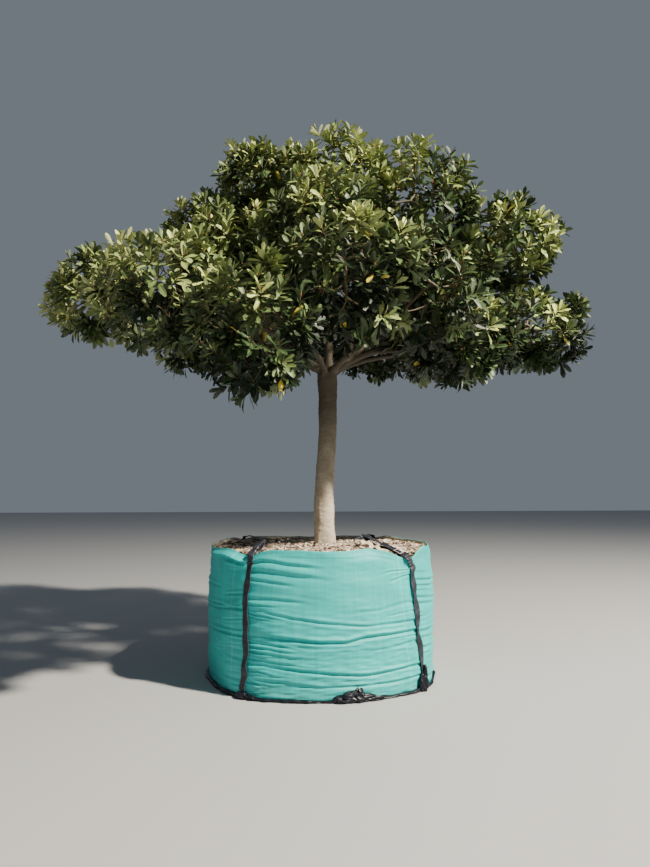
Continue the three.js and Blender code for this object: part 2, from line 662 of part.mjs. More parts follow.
// One mass: a core of dense inner foliage, and twigs with leaves that stand out of it.
function growMass(mass, limb, limbs, seed) {
  const draw = seeded(seed);
  const space = spaceOf(mass, limbs);
  const stem = limb.line.getPointAt(1).addScaledVector(limb.line.getTangentAt(1), CLEAR);
  let solid = coreSolid(mass, space.middle, draw);
  const tips = shootTips(mass, space, draw, SHOOTS);
  const twigs = [];
  branch(space.middle, tips, twigs, draw);
  const trunkward = twigGeometry(stem, space.middle, limb.radiusAt(1), limb.radiusAt(1) * 0.7, 0, 0);
  for (const twig of twigs) {
    const base = TWIG_RADIUS * twig.bears ** PIPE_POWER;
    const wood = twigGeometry(twig.start, twig.end, base, TWIG_RADIUS, twig.roll);
    solid = solid.add(solidOf(wood));
  }
  for (const twig of twigs.filter(({ last }) => last)) {
    for (let k = 0; k < LEAVES_EACH; k++) {
      for (const { foot, way, face, length } of leafWays(twig, k)) {
        const leaf = leafGeometry(foot, way, face, length);
        if (!clearOf(space, leaf, foot, foot.clone().addScaledVector(way, length))) continue;
        const grown = solid.add(solidOf(leaf));
        if (grown.numTri() > solid.numTri() + LEAF_FACES) continue;
        solid = grown;
        break;
      }
    }
  }
  for (const other of limbs) {
    if (nearMass(other, mass)) solid = solid.subtract(limbSolid(other, LIMB_ROOM / 2));
  }
  solid = mainBody(solid.add(solidOf(trunkward)));
  return solid;
}

function nearMass(limb, mass) {
  const middle = middleOf(mass);
  for (let share = 0; share <= 1; share += 0.05) {
    if (limb.line.getPointAt(share).distanceTo(middle) < mass.wide * 1.3) return true;
  }
  return false;
}

const MATERIALS = {
  bark: { color: 0x8d8371, roughness: 0.85, metalness: 0 },
  foliage: { color: 0x55682a, roughness: 0.5, metalness: 0 },
  bag: { color: 0x5fbfb3, roughness: 0.7, metalness: 0 },
  webbing: { color: 0x1d2128, roughness: 0.6, metalness: 0 },
  soil: { color: 0x3a2c20, roughness: 0.95, metalness: 0 },
  chips: { color: 0xa58a68, roughness: 0.9, metalness: 0 },
};

function add(group, name, geometry, finish) {
  const mesh = new THREE.Mesh(geometry, new THREE.MeshStandardMaterial(MATERIALS[finish]));
  mesh.name = name;
  group.add(mesh);
  return mesh;
}

function addBag(group, trunk) {
  const foot = limbSolid(trunk, CLEAR);
  add(group, "bag", makeBag(), "bag");
  add(group, "root_ball", makeRootBall(), "soil");
  add(group, "wood_chips", geometryOf(makeChips(foot)), "chips");
  add(group, "foot_band", makeFootBand(), "webbing");
  for (const strap of STRAPS) add(group, strap.name, makeStrap(strap), "webbing");
}

const tree = new THREE.Group();
const limbs = makeLimbs();
cutLimbs(limbs);
addBag(tree, limbs[0]);
for (const limb of limbs) add(tree, limb.name, geometryOf(limb.solid), "bark");
let seed = 1;
for (const limb of limbs.slice(1)) {
  const solid = growMass(MASSES[limb.mass], limb, limbs, seed++);
  add(tree, `foliage_${limb.mass}`, geometryOf(solid), "foliage");
}

export default tree;
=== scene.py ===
"""A broad evergreen tree with leathery leaves, grown on in a bulk bag of woven fabric."""

import math

import bpy
import numpy as np
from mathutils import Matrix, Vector


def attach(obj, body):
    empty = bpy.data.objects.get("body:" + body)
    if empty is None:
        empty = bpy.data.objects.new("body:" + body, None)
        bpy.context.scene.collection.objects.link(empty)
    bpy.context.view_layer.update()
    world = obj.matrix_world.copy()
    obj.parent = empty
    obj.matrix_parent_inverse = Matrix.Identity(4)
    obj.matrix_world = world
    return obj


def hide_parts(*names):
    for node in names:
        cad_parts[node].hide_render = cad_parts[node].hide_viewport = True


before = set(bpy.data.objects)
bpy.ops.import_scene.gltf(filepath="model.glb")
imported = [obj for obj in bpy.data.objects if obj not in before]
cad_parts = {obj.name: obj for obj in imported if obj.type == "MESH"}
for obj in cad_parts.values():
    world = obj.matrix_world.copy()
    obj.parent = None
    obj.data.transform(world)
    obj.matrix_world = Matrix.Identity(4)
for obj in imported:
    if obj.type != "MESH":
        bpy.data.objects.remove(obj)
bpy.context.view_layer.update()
MM = 0.001
TURN = 2 * math.pi
GOLDEN_ANGLE = math.pi * (3 - math.sqrt(5))
UP = np.array([0.0, 0.0, 1.0])
ALONG_X = np.array([1.0, 0.0, 0.0])
draw = np.random.default_rng(41)

# The masses of foliage, in mm: bearing and distance of the middle from the bag's axis,
# its height, and the mass's half width and half height.
MASSES = {
    "left_tip": (184, 1920, 3230, 490, 370),
    "left_front": (214, 1560, 3070, 610, 500),
    "front_left": (245, 1520, 2690, 480, 530),
    "front": (269, 1330, 3140, 550, 500),
    "front_right": (304, 1260, 3170, 610, 500),
    "right_low": (335, 1190, 2870, 560, 370),
    "right_tip": (350, 1920, 3030, 520, 370),
    "back_right": (26, 1660, 3210, 620, 500),
    "back": (62, 1590, 3310, 590, 490),
    "back_left": (98, 1580, 3290, 590, 490),
    "left_back": (140, 1540, 3240, 620, 500),
    "left_mid": (199, 870, 3510, 560, 480),
    "left_up": (161, 1040, 3930, 580, 400),
    "right_mid": (357, 920, 3510, 560, 480),
    "right_up": (348, 1690, 3780, 530, 430),
    "front_mid": (269, 680, 3760, 560, 480),
    "top_left": (171, 500, 4480, 480, 430),
    "top_mid": (330, 240, 4350, 600, 500),
    "top_right": (345, 900, 4160, 590, 480),
    "top_back_left": (122, 1050, 4080, 560, 460),
    "top_back": (75, 900, 4260, 560, 460),
    "top_back_right": (33, 1180, 3950, 590, 460),
}
FOLIAGE = [f"foliage_{mass}" for mass in MASSES]

# The limbs: what each grows from, how far along that, the mass at its tip, its radius at both
# ends in mm, and how far its middle lies above the straight line between them.
LIMBS = {
    "bough_left": ("trunk", 0.93, "left_tip", 40, 15, -60),
    "bough_right": ("trunk", 0.92, "right_tip", 38, 15, 30),
    "leader": ("trunk", 0.95, "top_mid", 44, 17, 0),
    "bough_front": ("trunk", 0.91, "front_right", 33, 15, -50),
    "bough_low": ("trunk", 0.89, "front_left", 28, 14, 90),
    "bough_back_left": ("trunk", 0.92, "left_back", 34, 15, -70),
    "bough_back_right": ("trunk", 0.9, "back_right", 34, 15, -70),
    "bough_rising": ("trunk", 0.96, "right_up", 34, 14, -190),
    "leader_back": ("trunk", 0.96, "top_back", 36, 15, -60),
    "limb_left_front": ("bough_left", 0.3, "left_front", 24, 13, -40),
    "limb_left_mid": ("bough_left", 0.22, "left_mid", 22, 12, -30),
    "limb_left_up": ("leader", 0.2, "left_up", 23, 12, -110),
    "limb_front": ("bough_front", 0.35, "front", 22, 13, -30),
    "limb_right_low": ("bough_right", 0.3, "right_low", 20, 12, -20),
    "limb_right_mid": ("bough_rising", 0.25, "right_mid", 22, 12, -20),
    "limb_front_mid": ("leader", 0.24, "front_mid", 22, 12, -60),
    "limb_top_left": ("leader", 0.45, "top_left", 23, 13, -40),
    "limb_top_right": ("leader", 0.38, "top_right", 24, 13, -90),
    "limb_back": ("bough_back_right", 0.3, "back", 23, 13, -60),
    "limb_back_left": ("bough_back_left", 0.3, "back_left", 23, 13, -60),
    "limb_top_back_left": ("leader_back", 0.36, "top_back_left", 22, 12, -80),
    "limb_top_back_right": ("leader_back", 0.33, "top_back_right", 22, 12, -90),
}
MASS_OF = [limb[2] for limb in LIMBS.values()]

# The trunk's middle line in mm: height, x, y and radius.
TRUNK_STATIONS = [
    (1035.4, 30, -55, 112),
    (1085, 30, -55, 98),
    (1180, 28, -55, 93),
    (1420, 23, -54, 91),
    (1720, 32, -56, 86),
    (2080, 54, -59, 81),
    (2380, 56, -60, 82),
    (2560, 52, -60, 93),
    (2640, 52, -60, 84),
]

# How far a limb first follows what it grows from, and how deep into its mass it ends, as shares.
FORK_RISE = 0.16
ENTRY_SHARE = 0.78

# The trunk's skin takes in this much of each bough, in m, and flares where the bough leaves.
COLLAR = 0.34
FLARE = 0.055
SKIN_VOXEL = 7.5 * MM

# How a mass grows: sprays over it by the golden angle, and shoots over each spray. Sprays stand
# and shoots reach unevenly, and neighbours mingle a little, so that no mass reads as a ball.
SPRAYS = 16
SPRAY_SHARE = 0.70
SPRAY_UNEVEN = (0.74, 1.2)
SPRAY_SPREAD = (0.11, 0.27)
SHOOTS_EACH = 8
TIP_SHARE = (0.7, 1.12)
WALL_SLACK = 0.13

# The lowest and highest corner that shoot tips keep to, in m.
CROWN_REACH = ((-2.38, -1.82, 0), (2.26, 2.09, 4.64))

# Short sprays straight from the limbs, which close the crown from below. None starts low or
# near the trunk's line, so that the fork shows.
INNER_SHARES = (0.36, 0.5, 0.64, 0.78, 0.92)
INNER_SHOOTS = 5
INNER_REACH = (0.16, 0.36)
FORK_TOP = 2.92
FORK_NEAR = 0.46
FORK_MIDDLE = (0.05, -0.06)

# Twigs: how far each goes before it divides, the last one's radius, and how radius grows with
# the number of shoots it bears.
KNEE_SHARE = 0.4
SHOOT_RADIUS = 3.6 * MM
PIPE_POWER = 0.31

# Leaves, 75 to 130 mm long, round the last 120 mm of each shoot: how many each bears, their
# length, how far apart they leave it, and how far the midrib stands out below.
LEAVES_EACH = (10, 15)
LEAF_LENGTH = (0.068, 0.118)
LEAF_ROOM = 8.5 * MM
RIB_DEPTH = 1.3 * MM

# A leaf's outline, along and across it as shares of its length: its foot, two pairs of edge
# points with the midrib between them, and two at the blunt tip.
LEAF_POINTS = np.array([
    [0.00, 0.000], [0.33, 0.125], [0.33, 0.0], [0.33, -0.125], [0.72, 0.195], [0.72, 0.0],
    [0.72, -0.195], [0.98, 0.080], [0.98, -0.080],
])
LEAF_FACES = np.array([
    [0, 2, 1], [0, 3, 2], [1, 2, 5], [1, 5, 4], [2, 3, 6], [2, 6, 5],
    [4, 5, 7], [5, 8, 7], [5, 6, 8],
])
LEAF_EDGE = np.sign(LEAF_POINTS[:, 1])
LEAF_RIB = (LEAF_EDGE == 0) & (LEAF_POINTS[:, 0] > 0)

# Leaf tints: name, upper face, midrib and underside. The last is for single old leaves.
LEAF_TINTS = [
    ("deep", "#192617", "#445733", "#243020"),
    ("green", "#2f4224", "#637745", "#3a492f"),
    ("olive", "#4f6136", "#8b9962", "#576443"),
    ("fresh", "#77874c", "#b0b97c", "#7e8957"),
    ("bright", "#a8b568", "#d5d8a2", "#a6af78"),
    ("yellow", "#d2bf42", "#dfcf72", "#c4b352"),
]
YELLOWED = 0.004
# The five tints are dealt partly at random and partly by place: darker inside and low as painted shade,
# lighter outside, high and on the left as painted light.
TINT_SHARES = np.array([0.24, 0.25, 0.23, 0.17, 0.11])

# Figs: the share of shoots that bear them, their radius in mm, and how far behind the tip and
# out from the shoot they sit, in m. Buds: their length.
FRUITING = 0.16
FIG_RADIUS = (4.5, 6.5)
FIG_BEHIND = (0.02, 0.11)
FIG_ASIDE = 9.5 * MM
BUD_LENGTH = (0.018, 0.034)

# The bag, in m. On the weave's own scale a panel runs PANEL_RUN, the next one starts PANEL_STEP
# on, and the sewn seam lies SEAM_PLACE along each. A tape over and one under take up WEAVE.
BAG_HEIGHT = 1.1
BAG_HALF_WIDTH = 0.94
BAG_BULGE = 0.014
CORNER_REACH = 0.055
CLOTH_STAND = 0.007
FOOT_ROUND = 0.022
BAG_COLUMNS = 150
PANEL_RUN = 1.55
PANEL_STEP = 1.6
SEAM_PLACE = 1.405
WEAVE = 0.007

# The cloth turned in over the rim, and its lining below that: how far in and how far up.
HEM = [(0.0025, 0.003), (0.006, 0.003), (0.0085, 0.0)]
LINING_DROPS = [(0.0095 + 0.2 * down, -down) for down in (0.012, 0.024, 0.034, 0.046, 0.06)]

# The chips: their top, how much higher they lie in the middle, how far out they reach, how many
# there are, where the trunk stands and how much room they leave it. Then their length, width
# and thickness in mm.
CHIP_TOP = 1.077
CHIP_HEAP = 0.016
CHIP_REACH = 0.925
CHIPS = 6200
TRUNK_FOOT = (0.03, -0.055)
TRUNK_ROOM = 0.095
CHIP_SIZES = ((20, 62), (7, 22), (2.5, 8))

# The chips' kinds: name, colour, colour of the grain's streaks, and share of all.
CHIP_KINDS = [
    ("pale", "#e9ddcc", "#bfae98", 0.3),
    ("tan", "#c1ad96", "#8f7c67", 0.28),
    ("brown", "#7c6654", "#4d3d31", 0.22),
    ("grey", "#b2aaa1", "#7d766c", 0.2),
]

# The rim's height in mm by bearing in degrees. The straps pull it down where they cross it.
RIM = [
    (0, 1100), (20, 1101), (40, 1118), (49, 1094), (58, 1114), (90, 1098), (122, 1116),
    (131, 1090), (140, 1114), (180, 1090), (196, 1086), (206, 1094), (214, 1099), (220, 1086),
    (225, 1058), (230, 1056), (234, 1088), (240, 1104), (260, 1100), (272, 1098), (286, 1109),
    (293, 1090), (299, 1058), (303, 1034), (308, 1038), (311, 1085), (313.5, 1108), (315.5, 1120),
    (320, 1106), (335, 1098), (360, 1100),
]

# The front's folds: how deep and wide each is in mm, and its line, as shares of the front's
# width from its left corner and heights in mm.
FRONT_FOLDS = [
    (6, 13, [(0.04, 740), (0.16, 738), (0.26, 728), (0.37, 713)]),
    (5, 7, [(0.0, 702), (0.08, 696), (0.2, 684)]),
    (6, 7, [(0.0, 640), (0.08, 622), (0.22, 590)]),
    (4, 6, [(0.0, 612), (0.06, 600), (0.15, 580)]),
    (5, 6, [(0.0, 446), (0.06, 436), (0.14, 424)]),
    (4, 6, [(0.0, 330), (0.06, 320), (0.13, 306)]),
    (5, 7, [(0.0, 228), (0.08, 208), (0.2, 176)]),
    (8, 12, [(0.03, 664), (0.11, 645), (0.26, 605), (0.45, 570), (0.66, 541), (0.92, 548)]),
    (15, 13, [(0.02, 478), (0.07, 474), (0.25, 452), (0.41, 433), (0.54, 427), (0.66, 460), (0.92, 470)]),
    (7, 9, [(0.04, 418), (0.18, 405), (0.31, 372)]),
    (6, 8, [(0.04, 384), (0.14, 374), (0.27, 352)]),
    (5, 8, [(0.05, 350), (0.16, 336), (0.30, 316)]),
    (12, 12, [(0.02, 272), (0.05, 265), (0.25, 234), (0.49, 199), (0.66, 181), (0.92, 205)]),
    (6, 9, [(0.04, 300), (0.2, 274), (0.42, 238)]),
    (7, 11, [(0.03, 162), (0.2, 138), (0.42, 108), (0.76, 106), (0.95, 120)]),
    (9, 15, [(0.03, 1030), (0.12, 1012), (0.25, 990), (0.46, 968)]),
    (7, 17, [(0.04, 950), (0.16, 930), (0.3, 908), (0.52, 880)]),
    (5, 12, [(0.03, 880), (0.14, 862), (0.3, 836)]),
    (4, 14, [(0.55, 640), (0.75, 655), (0.93, 690)]),
    (5, 12, [(0.6, 352), (0.78, 362), (0.94, 392)]),
]

# The straps: bearing in degrees of the corner each climbs, how far it leans from it at the
# four heights below, the way its loop faces, and the points its loop runs through, in mm.
LEAN_HEIGHTS = (0, 0.35, 0.75, 1.1)
STRAPS = {
    "strap_back_right": (
        45, (-1, 1, 3, 4), (0.2, 0.2, 1.0),
        [(640, 735, 1118), (590, 680, 1128), (520, 600, 1112), (450, 515, 1108), (385, 443, 1104)],
    ),
    "strap_back_left": (
        135, (1.5, -1, -2, -4), (-0.2, 0.2, 1.0),
        [(-640, 735, 1114), (-585, 672, 1126), (-500, 575, 1112), (-425, 490, 1110), (-352, 405, 1102)],
    ),
    "strap_front_left": (
        225, (0.5, 3, 2.5, 5), (-0.45, -0.85, 0.35),
        [(-655, -768, 1066), (-642, -738, 1088), (-624, -700, 1110), (-592, -615, 1134),
         (-562, -540, 1150)],
    ),
    "strap_front_right": (
        315, (0.5, -4, -7, -8.5), (0.2, -0.85, 0.4),
        [(560, -836, 1046), (532, -806, 1063), (500, -750, 1083), (448, -590, 1118),
         (398, -375, 1146), (360, -235, 1176)],
    ),
}

# The panels' edges, anticlockwise from the front's left one. Each runs up under a strap.
EDGES = ["strap_front_left", "strap_front_right", "strap_back_right", "strap_back_left"]

# The webbing: its width and thickness, how far the loop's two layers fan and hang apart, and
# its ribs. Then its section from edge to edge: places as shares of half the width, and shares
# of the thickness.
WEB_WIDE = 0.052
WEB_THICK = 0.0032
LOOP_FAN = 0.024
LOOP_SLACK = np.array([0.024, 0.020, 0.008, 0.003])
RIBS = 0.005
WEB_EDGE = np.array([-1, -0.96, -0.7, -0.35, 0, 0.35, 0.7, 0.96, 1])
WEB_FACE = np.array([0.0, 0.45, 0.5, 0.43, 0.5, 0.43, 0.5, 0.45, 0.0])

# The strip of lining over the chips, as points in mm.
TONGUE = [
    (412, -742, 1074), (382, -650, 1092), (358, -540, 1104), (336, -430, 1120), (306, -340, 1134),
    (284, -270, 1136),
]

# Where the band is bunched up: its bearing, and how far it reaches round, out and up, in mm.
BUNCHES = [
    (276.0, 90, 34, 46), (271.5, 74, 34, 34), (278.5, 40, 40, 58), (281.0, 92, 32, 32),
    (287, 84, 26, 20), (312.5, 36, 40, 74), (314, 32, 34, 112), (226, 56, 34, 30),
    (230, 60, 28, 22),
]
BUNCH_RINGS, BUNCH_SIDES = 44, 56

# The softbox: its bearing and height in degrees, how far off it stands and what it aims at.
LAMP_BEARING, LAMP_HEIGHT = -43, 40
LAMP_AWAY, LAMP_AIM = 16.0, (0, 0, 2.4)
LAMP_SIZE, LAMP_POWER = 0.9, 10500
SKY_LIGHT = 0.24
FLOOR_HALF = 60

# The camera: its place in m, its turns in degrees, and its lens and sensor in mm.
CAMERA_PLACE = (-0.9148, -6.0312, 1.514)
CAMERA_TURN = (95.25, 0, -9)
CAMERA_LENS, SENSOR = 28.235, 36


def unit(ways):
    return ways / np.maximum(np.linalg.norm(ways, axis=-1, keepdims=True), 1e-9)


def waves(points, size, seed, count=11):
    """Smooth random relief, about -1 to 1, whose hills are about `size` apart."""
    own = np.random.default_rng(seed)
    ways = unit(own.normal(size=(count, points.shape[-1])))
    ways = ways * (TURN / size) / own.uniform(0.7, 1.7, (count, 1))
    return np.sin(points @ ways.T + own.uniform(0, TURN, count)).sum(-1) / count**0.5


def shaken(points, size, seed, count):
    """The same relief, in three directions."""
    return np.stack([waves(points, size, seed + k, count) for k in range(3)], -1)


def step(low, high, value):
    """0 below low, 1 above high, and smooth between."""
    share = np.clip((value - low) / (high - low), 0, 1)
    return share * share * (3 - 2 * share)


def round_axis(out, angle, height):
    """Points so far out from the bag's axis, at an angle and a height."""
    out, angle, height = np.broadcast_arrays(out, angle, height)
    return np.stack([out * np.cos(angle), out * np.sin(angle), height], -1)


def turns(sides):
    return np.arange(sides) * TURN / sides


def across_at(first, second, turn):
    """Directions across something, at these turns from the first towards the second."""
    turn = turn[:, None]
    return first[..., None, :] * np.cos(turn) + second[..., None, :] * np.sin(turn)


def curve(a, b, leave, arrive, s):
    """Points from a to b, s of the way along, that leave and arrive along their own ways."""
    points = (2 * s**3 - 3 * s**2 + 1) * a + (s**3 - 2 * s**2 + s) * leave
    return points + (3 * s**2 - 2 * s**3) * b + (s**3 - s**2) * arrive


def set_up(thing, **settings):
    for name, value in settings.items():
        setattr(thing, name, value)
    return thing


# Finishes.


def linear(hex_colour):
    """An sRGB hex value as Blender's linear red, green and blue, with an alpha of 1."""
    channels = [int(hex_colour[i : i + 2], 16) / 255 for i in (1, 3, 5)]
    return (*[c / 12.92 if c <= 0.04045 else ((c + 0.055) / 1.055) ** 2.4 for c in channels], 1.0)


def add(tree, kind, inputs, output=0, **settings):
    """Adds a node with its settings, and returns one of its outputs.

    An input is given a value, a hex colour, or another node's output.
    """
    made = set_up(tree.nodes.new(kind), **settings)
    for name, value in inputs.items():
        if isinstance(value, bpy.types.NodeSocket):
            tree.links.new(value, made.inputs[name])
        else:
            made.inputs[name].default_value = linear(value) if isinstance(value, str) else value
    return made.outputs[output]


def finish(name, colour, roughness, specular=0.5):
    """A named material, with its plain values set on the shader's own sockets."""
    material = bpy.data.materials.new(name)
    material.use_nodes = True
    sockets = material.node_tree.nodes["Principled BSDF"].inputs
    plain = {"Base Color": linear(colour), "Roughness": roughness, "Specular IOR Level": specular}
    for socket, value in plain.items():
        sockets[socket].default_value = value
    return material


def coated(material, layers, relief=None, depth=0.0, strength=1.0):
    """Lays colours over the material's own, each by its share, and dents it by a relief."""
    tree = material.node_tree
    sockets = tree.nodes["Principled BSDF"].inputs
    colour = tuple(sockets["Base Color"].default_value)
    for share, over in layers:
        colour = add(tree, "ShaderNodeMix", {0: share, 6: colour, 7: over}, 2, data_type="RGBA")
    tree.links.new(colour, sockets["Base Color"])
    if relief is not None:
        dents = {"Height": relief, "Distance": depth, "Strength": strength}
        tree.links.new(add(tree, "ShaderNodeBump", dents), sockets["Normal"])
    return material


def speckle(tree, place, per_metre, detail, low, high, most=1.0):
    """Noise of so many hills to the metre, spread to run from 0 to most."""
    hills = {"Vector": place, "Scale": per_metre, "Detail": detail}
    noise = add(tree, "ShaderNodeTexNoise", hills, "Fac")
    spread = {"Value": noise, "From Min": low, "From Max": high, "To Max": most}
    return add(tree, "ShaderNodeMapRange", spread)


def ribbed(tree, along, apart):
    """A wave along a surface, with its crests so far apart."""
    turn = add(tree, "ShaderNodeMath", {0: along, 1: TURN / apart}, operation="MULTIPLY")
    return add(tree, "ShaderNodeMath", {0: turn}, operation="SINE")


def speckled(name, colour, roughness, over, pattern, depth=0.0):
    """A material whose colour passes into another in specks, which may stand out as well."""
    material = finish(name, colour, roughness)
    tree = material.node_tree
    specks = speckle(tree, add(tree, "ShaderNodeTexCoord", {}, "Object"), *pattern)
    return coated(material, [(specks, over)], specks if depth else None, depth)


def smooth_fig_bark(name, pale, dull):
    """Smooth fig bark: pale grey-buff skin, with duller patches and fine level cracks.

    Painted shade: it turns browner and darker towards the crown, from 1.4 to 2.3 m up.
    """
    material = finish(name, pale, 0.78)
    tree = material.node_tree
    place = add(tree, "ShaderNodeTexCoord", {}, "Object")
    patches = speckle(tree, place, 7, 5, 0.3, 0.75)
    flecks = speckle(tree, place, 60, 4, 0.55, 0.8)
    level = add(tree, "ShaderNodeMapping", {"Vector": place, "Scale": (22, 22, 110)})
    cracks = speckle(tree, level, 1, 3, 0.58, 0.8)
    height = add(tree, "ShaderNodeSeparateXYZ", {0: place}, "Z")
    # Painted shade of the crown: the bark blends into dark brown from 1.4 to 2.3 m up.
    rise = {"Value": height, "From Min": 1.4, "From Max": 2.3, "To Max": 0.95}
    painted_crown_shade = add(tree, "ShaderNodeMapRange", rise)
    relief = add(tree, "ShaderNodeMath", {0: cracks, 1: flecks}, operation="ADD")
    layers = [(patches, dull), (flecks, "#8d7f6b"), (cracks, "#8a7b68"), (painted_crown_shade, "#393326")]
    return coated(material, layers, relief, -1.2 * MM)


def leaf_face(name, colour, rib):
    """Leathery leaf, upper face: waxy, so that it shines, with a paler midrib 3 mm wide."""
    material = finish(name, colour, 0.47, 0.32)
    tree = material.node_tree
    blade = add(tree, "ShaderNodeAttribute", {}, "Vector", attribute_name="blade")
    across = add(tree, "ShaderNodeSeparateXYZ", {0: blade}, "Y")
    aside = add(tree, "ShaderNodeMath", {0: across}, operation="ABSOLUTE")
    near_rib = {"Value": aside, "From Min": 0.05, "From Max": 0.17, "To Min": 0.75, "To Max": 0.0}
    return coated(material, [(add(tree, "ShaderNodeMapRange", near_rib), rib)])


def woven_tape_cloth():
    """Woven polypropylene: flat tapes crossing, a low plastic shine, and dust near the foot.

    The tapes are 3 mm wide. They are drawn 3.5 mm wide, one over and one under in 7 mm. A pale
    seam, 4 mm wide and drawn 10 mm wide, runs up each panel.
    """
    material = finish("cloth_woven_polypropylene", "#14b7b4", 0.5, 0.4)
    tree = material.node_tree
    place = add(tree, "ShaderNodeTexCoord", {}, "Object")
    cloth = add(tree, "ShaderNodeAttribute", {}, "Vector", attribute_name="cloth")
    along, rise = (add(tree, "ShaderNodeSeparateXYZ", {0: cloth}, way) for way in "XY")
    tapes = {0: ribbed(tree, along, WEAVE), 1: ribbed(tree, rise, WEAVE)}
    weave = add(tree, "ShaderNodeMath", tapes, operation="MULTIPLY")
    warp = add(tree, "ShaderNodeMapping", {"Vector": cloth, "Scale": (42, 1.2, 1)})
    foot = {"Value": rise, "From Min": 0.0, "From Max": 0.22, "To Min": 0.18, "To Max": 0.0}
    near_foot = add(tree, "ShaderNodeMapRange", foot)
    dust = speckle(tree, place, 16, 5, 0.35, 0.75)
    dusty = add(tree, "ShaderNodeMath", {0: near_foot, 1: dust}, operation="MULTIPLY")
    inward = add(tree, "ShaderNodeMath", {0: along, 1: PANEL_STEP}, operation="MODULO")
    off_seam = add(tree, "ShaderNodeMath", {0: inward, 1: SEAM_PLACE}, operation="SUBTRACT")
    off_seam = add(tree, "ShaderNodeMath", {0: off_seam}, operation="ABSOLUTE")
    seam = {"Value": off_seam, "From Min": 0.002, "From Max": 0.008, "To Min": 0.24, "To Max": 0.0}
    layers = [
        (speckle(tree, place, 5, 4, 0.3, 0.7), "#10a3a1"),
        (speckle(tree, warp, 1, 3, 0.35, 0.7, 0.16), "#5fdad6"),
        (dusty, "#a08f72"),
        (add(tree, "ShaderNodeMapRange", seam), "#8fe6e0"),
    ]
    return coated(material, layers, weave, 0.5 * MM, 0.5)


def strap_webbing():
    """Polyester webbing: charcoal black, ribbed along and dusty, with a painted highlight along both
    edges.

    The ribs are 2 mm apart. They are drawn 5 mm apart, so that they show.
    """
    material = finish("webbing_black_polyester", "#10131d", 0.6)
    tree = material.node_tree
    place = add(tree, "ShaderNodeTexCoord", {}, "Object")
    cloth = add(tree, "ShaderNodeAttribute", {}, "Vector", attribute_name="cloth")
    across = add(tree, "ShaderNodeSeparateXYZ", {0: cloth}, "X")
    aside = add(tree, "ShaderNodeMath", {0: across}, operation="ABSOLUTE")
    # Painted highlight: a paler bluish grey along both edges.
    edges = {"Value": aside, "From Min": 0.018, "From Max": 0.024, "To Max": 0.7}
    dust = speckle(tree, place, 26, 5, 0.42, 0.8)
    layers = [(dust, "#373b4a"), (add(tree, "ShaderNodeMapRange", edges), "#70758a")]
    return coated(material, layers, ribbed(tree, across, RIBS), 0.5 * MM, 0.6)


def band_film():
    """Crumpled black polyethylene: shiny along its creases, with earth caught in them."""
    material = finish("film_black_polyethylene", "#0c101b", 0.4, 0.36)
    tree = material.node_tree
    place = add(tree, "ShaderNodeTexCoord", {}, "Object")
    layers = [(speckle(tree, place, 14, 4, 0.68, 1.2), "#3f3b3a")]
    return coated(material, layers, speckle(tree, place, 16, 1, 0.3, 0.7), 1.5 * MM, 0.2)


def split_wood(name, colour, dark):
    """Split wood chip: dull, with a grain 2 mm wide, drawn 8 mm wide, as soft streaks."""
    material = finish(name, colour, 0.85)
    tree = material.node_tree
    grain = {"Rotation": (0.3, 0.2, 0.9), "Scale": (14, 120, 120)}
    grain["Vector"] = add(tree, "ShaderNodeTexCoord", {}, "Object")
    streaks = speckle(tree, add(tree, "ShaderNodeMapping", grain), 1, 3, 0.4, 0.65)
    return coated(material, [(streaks, dark)])


BARK = smooth_fig_bark("bark_smooth_grey", "#c7bca8", "#978c79")
# The boughs' bark: the same bark in darker tones, which paints the crown's shade on the limbs.
BARK_PAINTED_SHADE = smooth_fig_bark("bark_smooth_painted_shade", "#75695a", "#574d3f")
CLOTH = woven_tape_cloth()
WEBBING = strap_webbing()
FILM = band_film()

# Young twig: brown-green skin, a little glossy, with pale lenticels. The lenticels are 2 mm
# apart. They are drawn 4 mm apart, so that they show.
TWIG = speckled("bark_young_twig", "#4c432c", 0.65, "#75694c", (260, 2, 0.6, 0.7))

# The cloth's inner face: a pale cream coat, matt and soiled.
LINING = speckled("cloth_coated_lining", "#dcd2b8", 0.7, "#a3927a", (22, 5, 0.4, 0.75))

# Potting soil: dark, crumbly and dull, in crumbs of 4 to 10 mm.
SOIL = speckled("soil_potting_mix", "#241a12", 0.95, "#54412f", (120, 4, 0.35, 0.65), 4 * MM)

# Polyester thread: off-white and soiled, with little shine.
THREAD = finish("thread_pale_polyester", "#c9c6bd", 0.7)

# Ripe fig and bud sheath: thin skin with a little shine, which catches the light as red dots.
FIG = finish("fig_skin", "#8a5a3c", 0.45)
BUD = finish("bud_sheath", "#a86a4a", 0.4)


# Meshes.


def placed(name, data):
    """An object that puts a mesh, a light or a camera in the scene."""
    made = bpy.data.objects.new(name, data)
    bpy.context.scene.collection.objects.link(made)
    return made


def settle(made, nodes):
    """Fixes a piece to the part, and lets it stand for its nodes."""
    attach(made, "root")
    if nodes:
        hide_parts(*nodes)


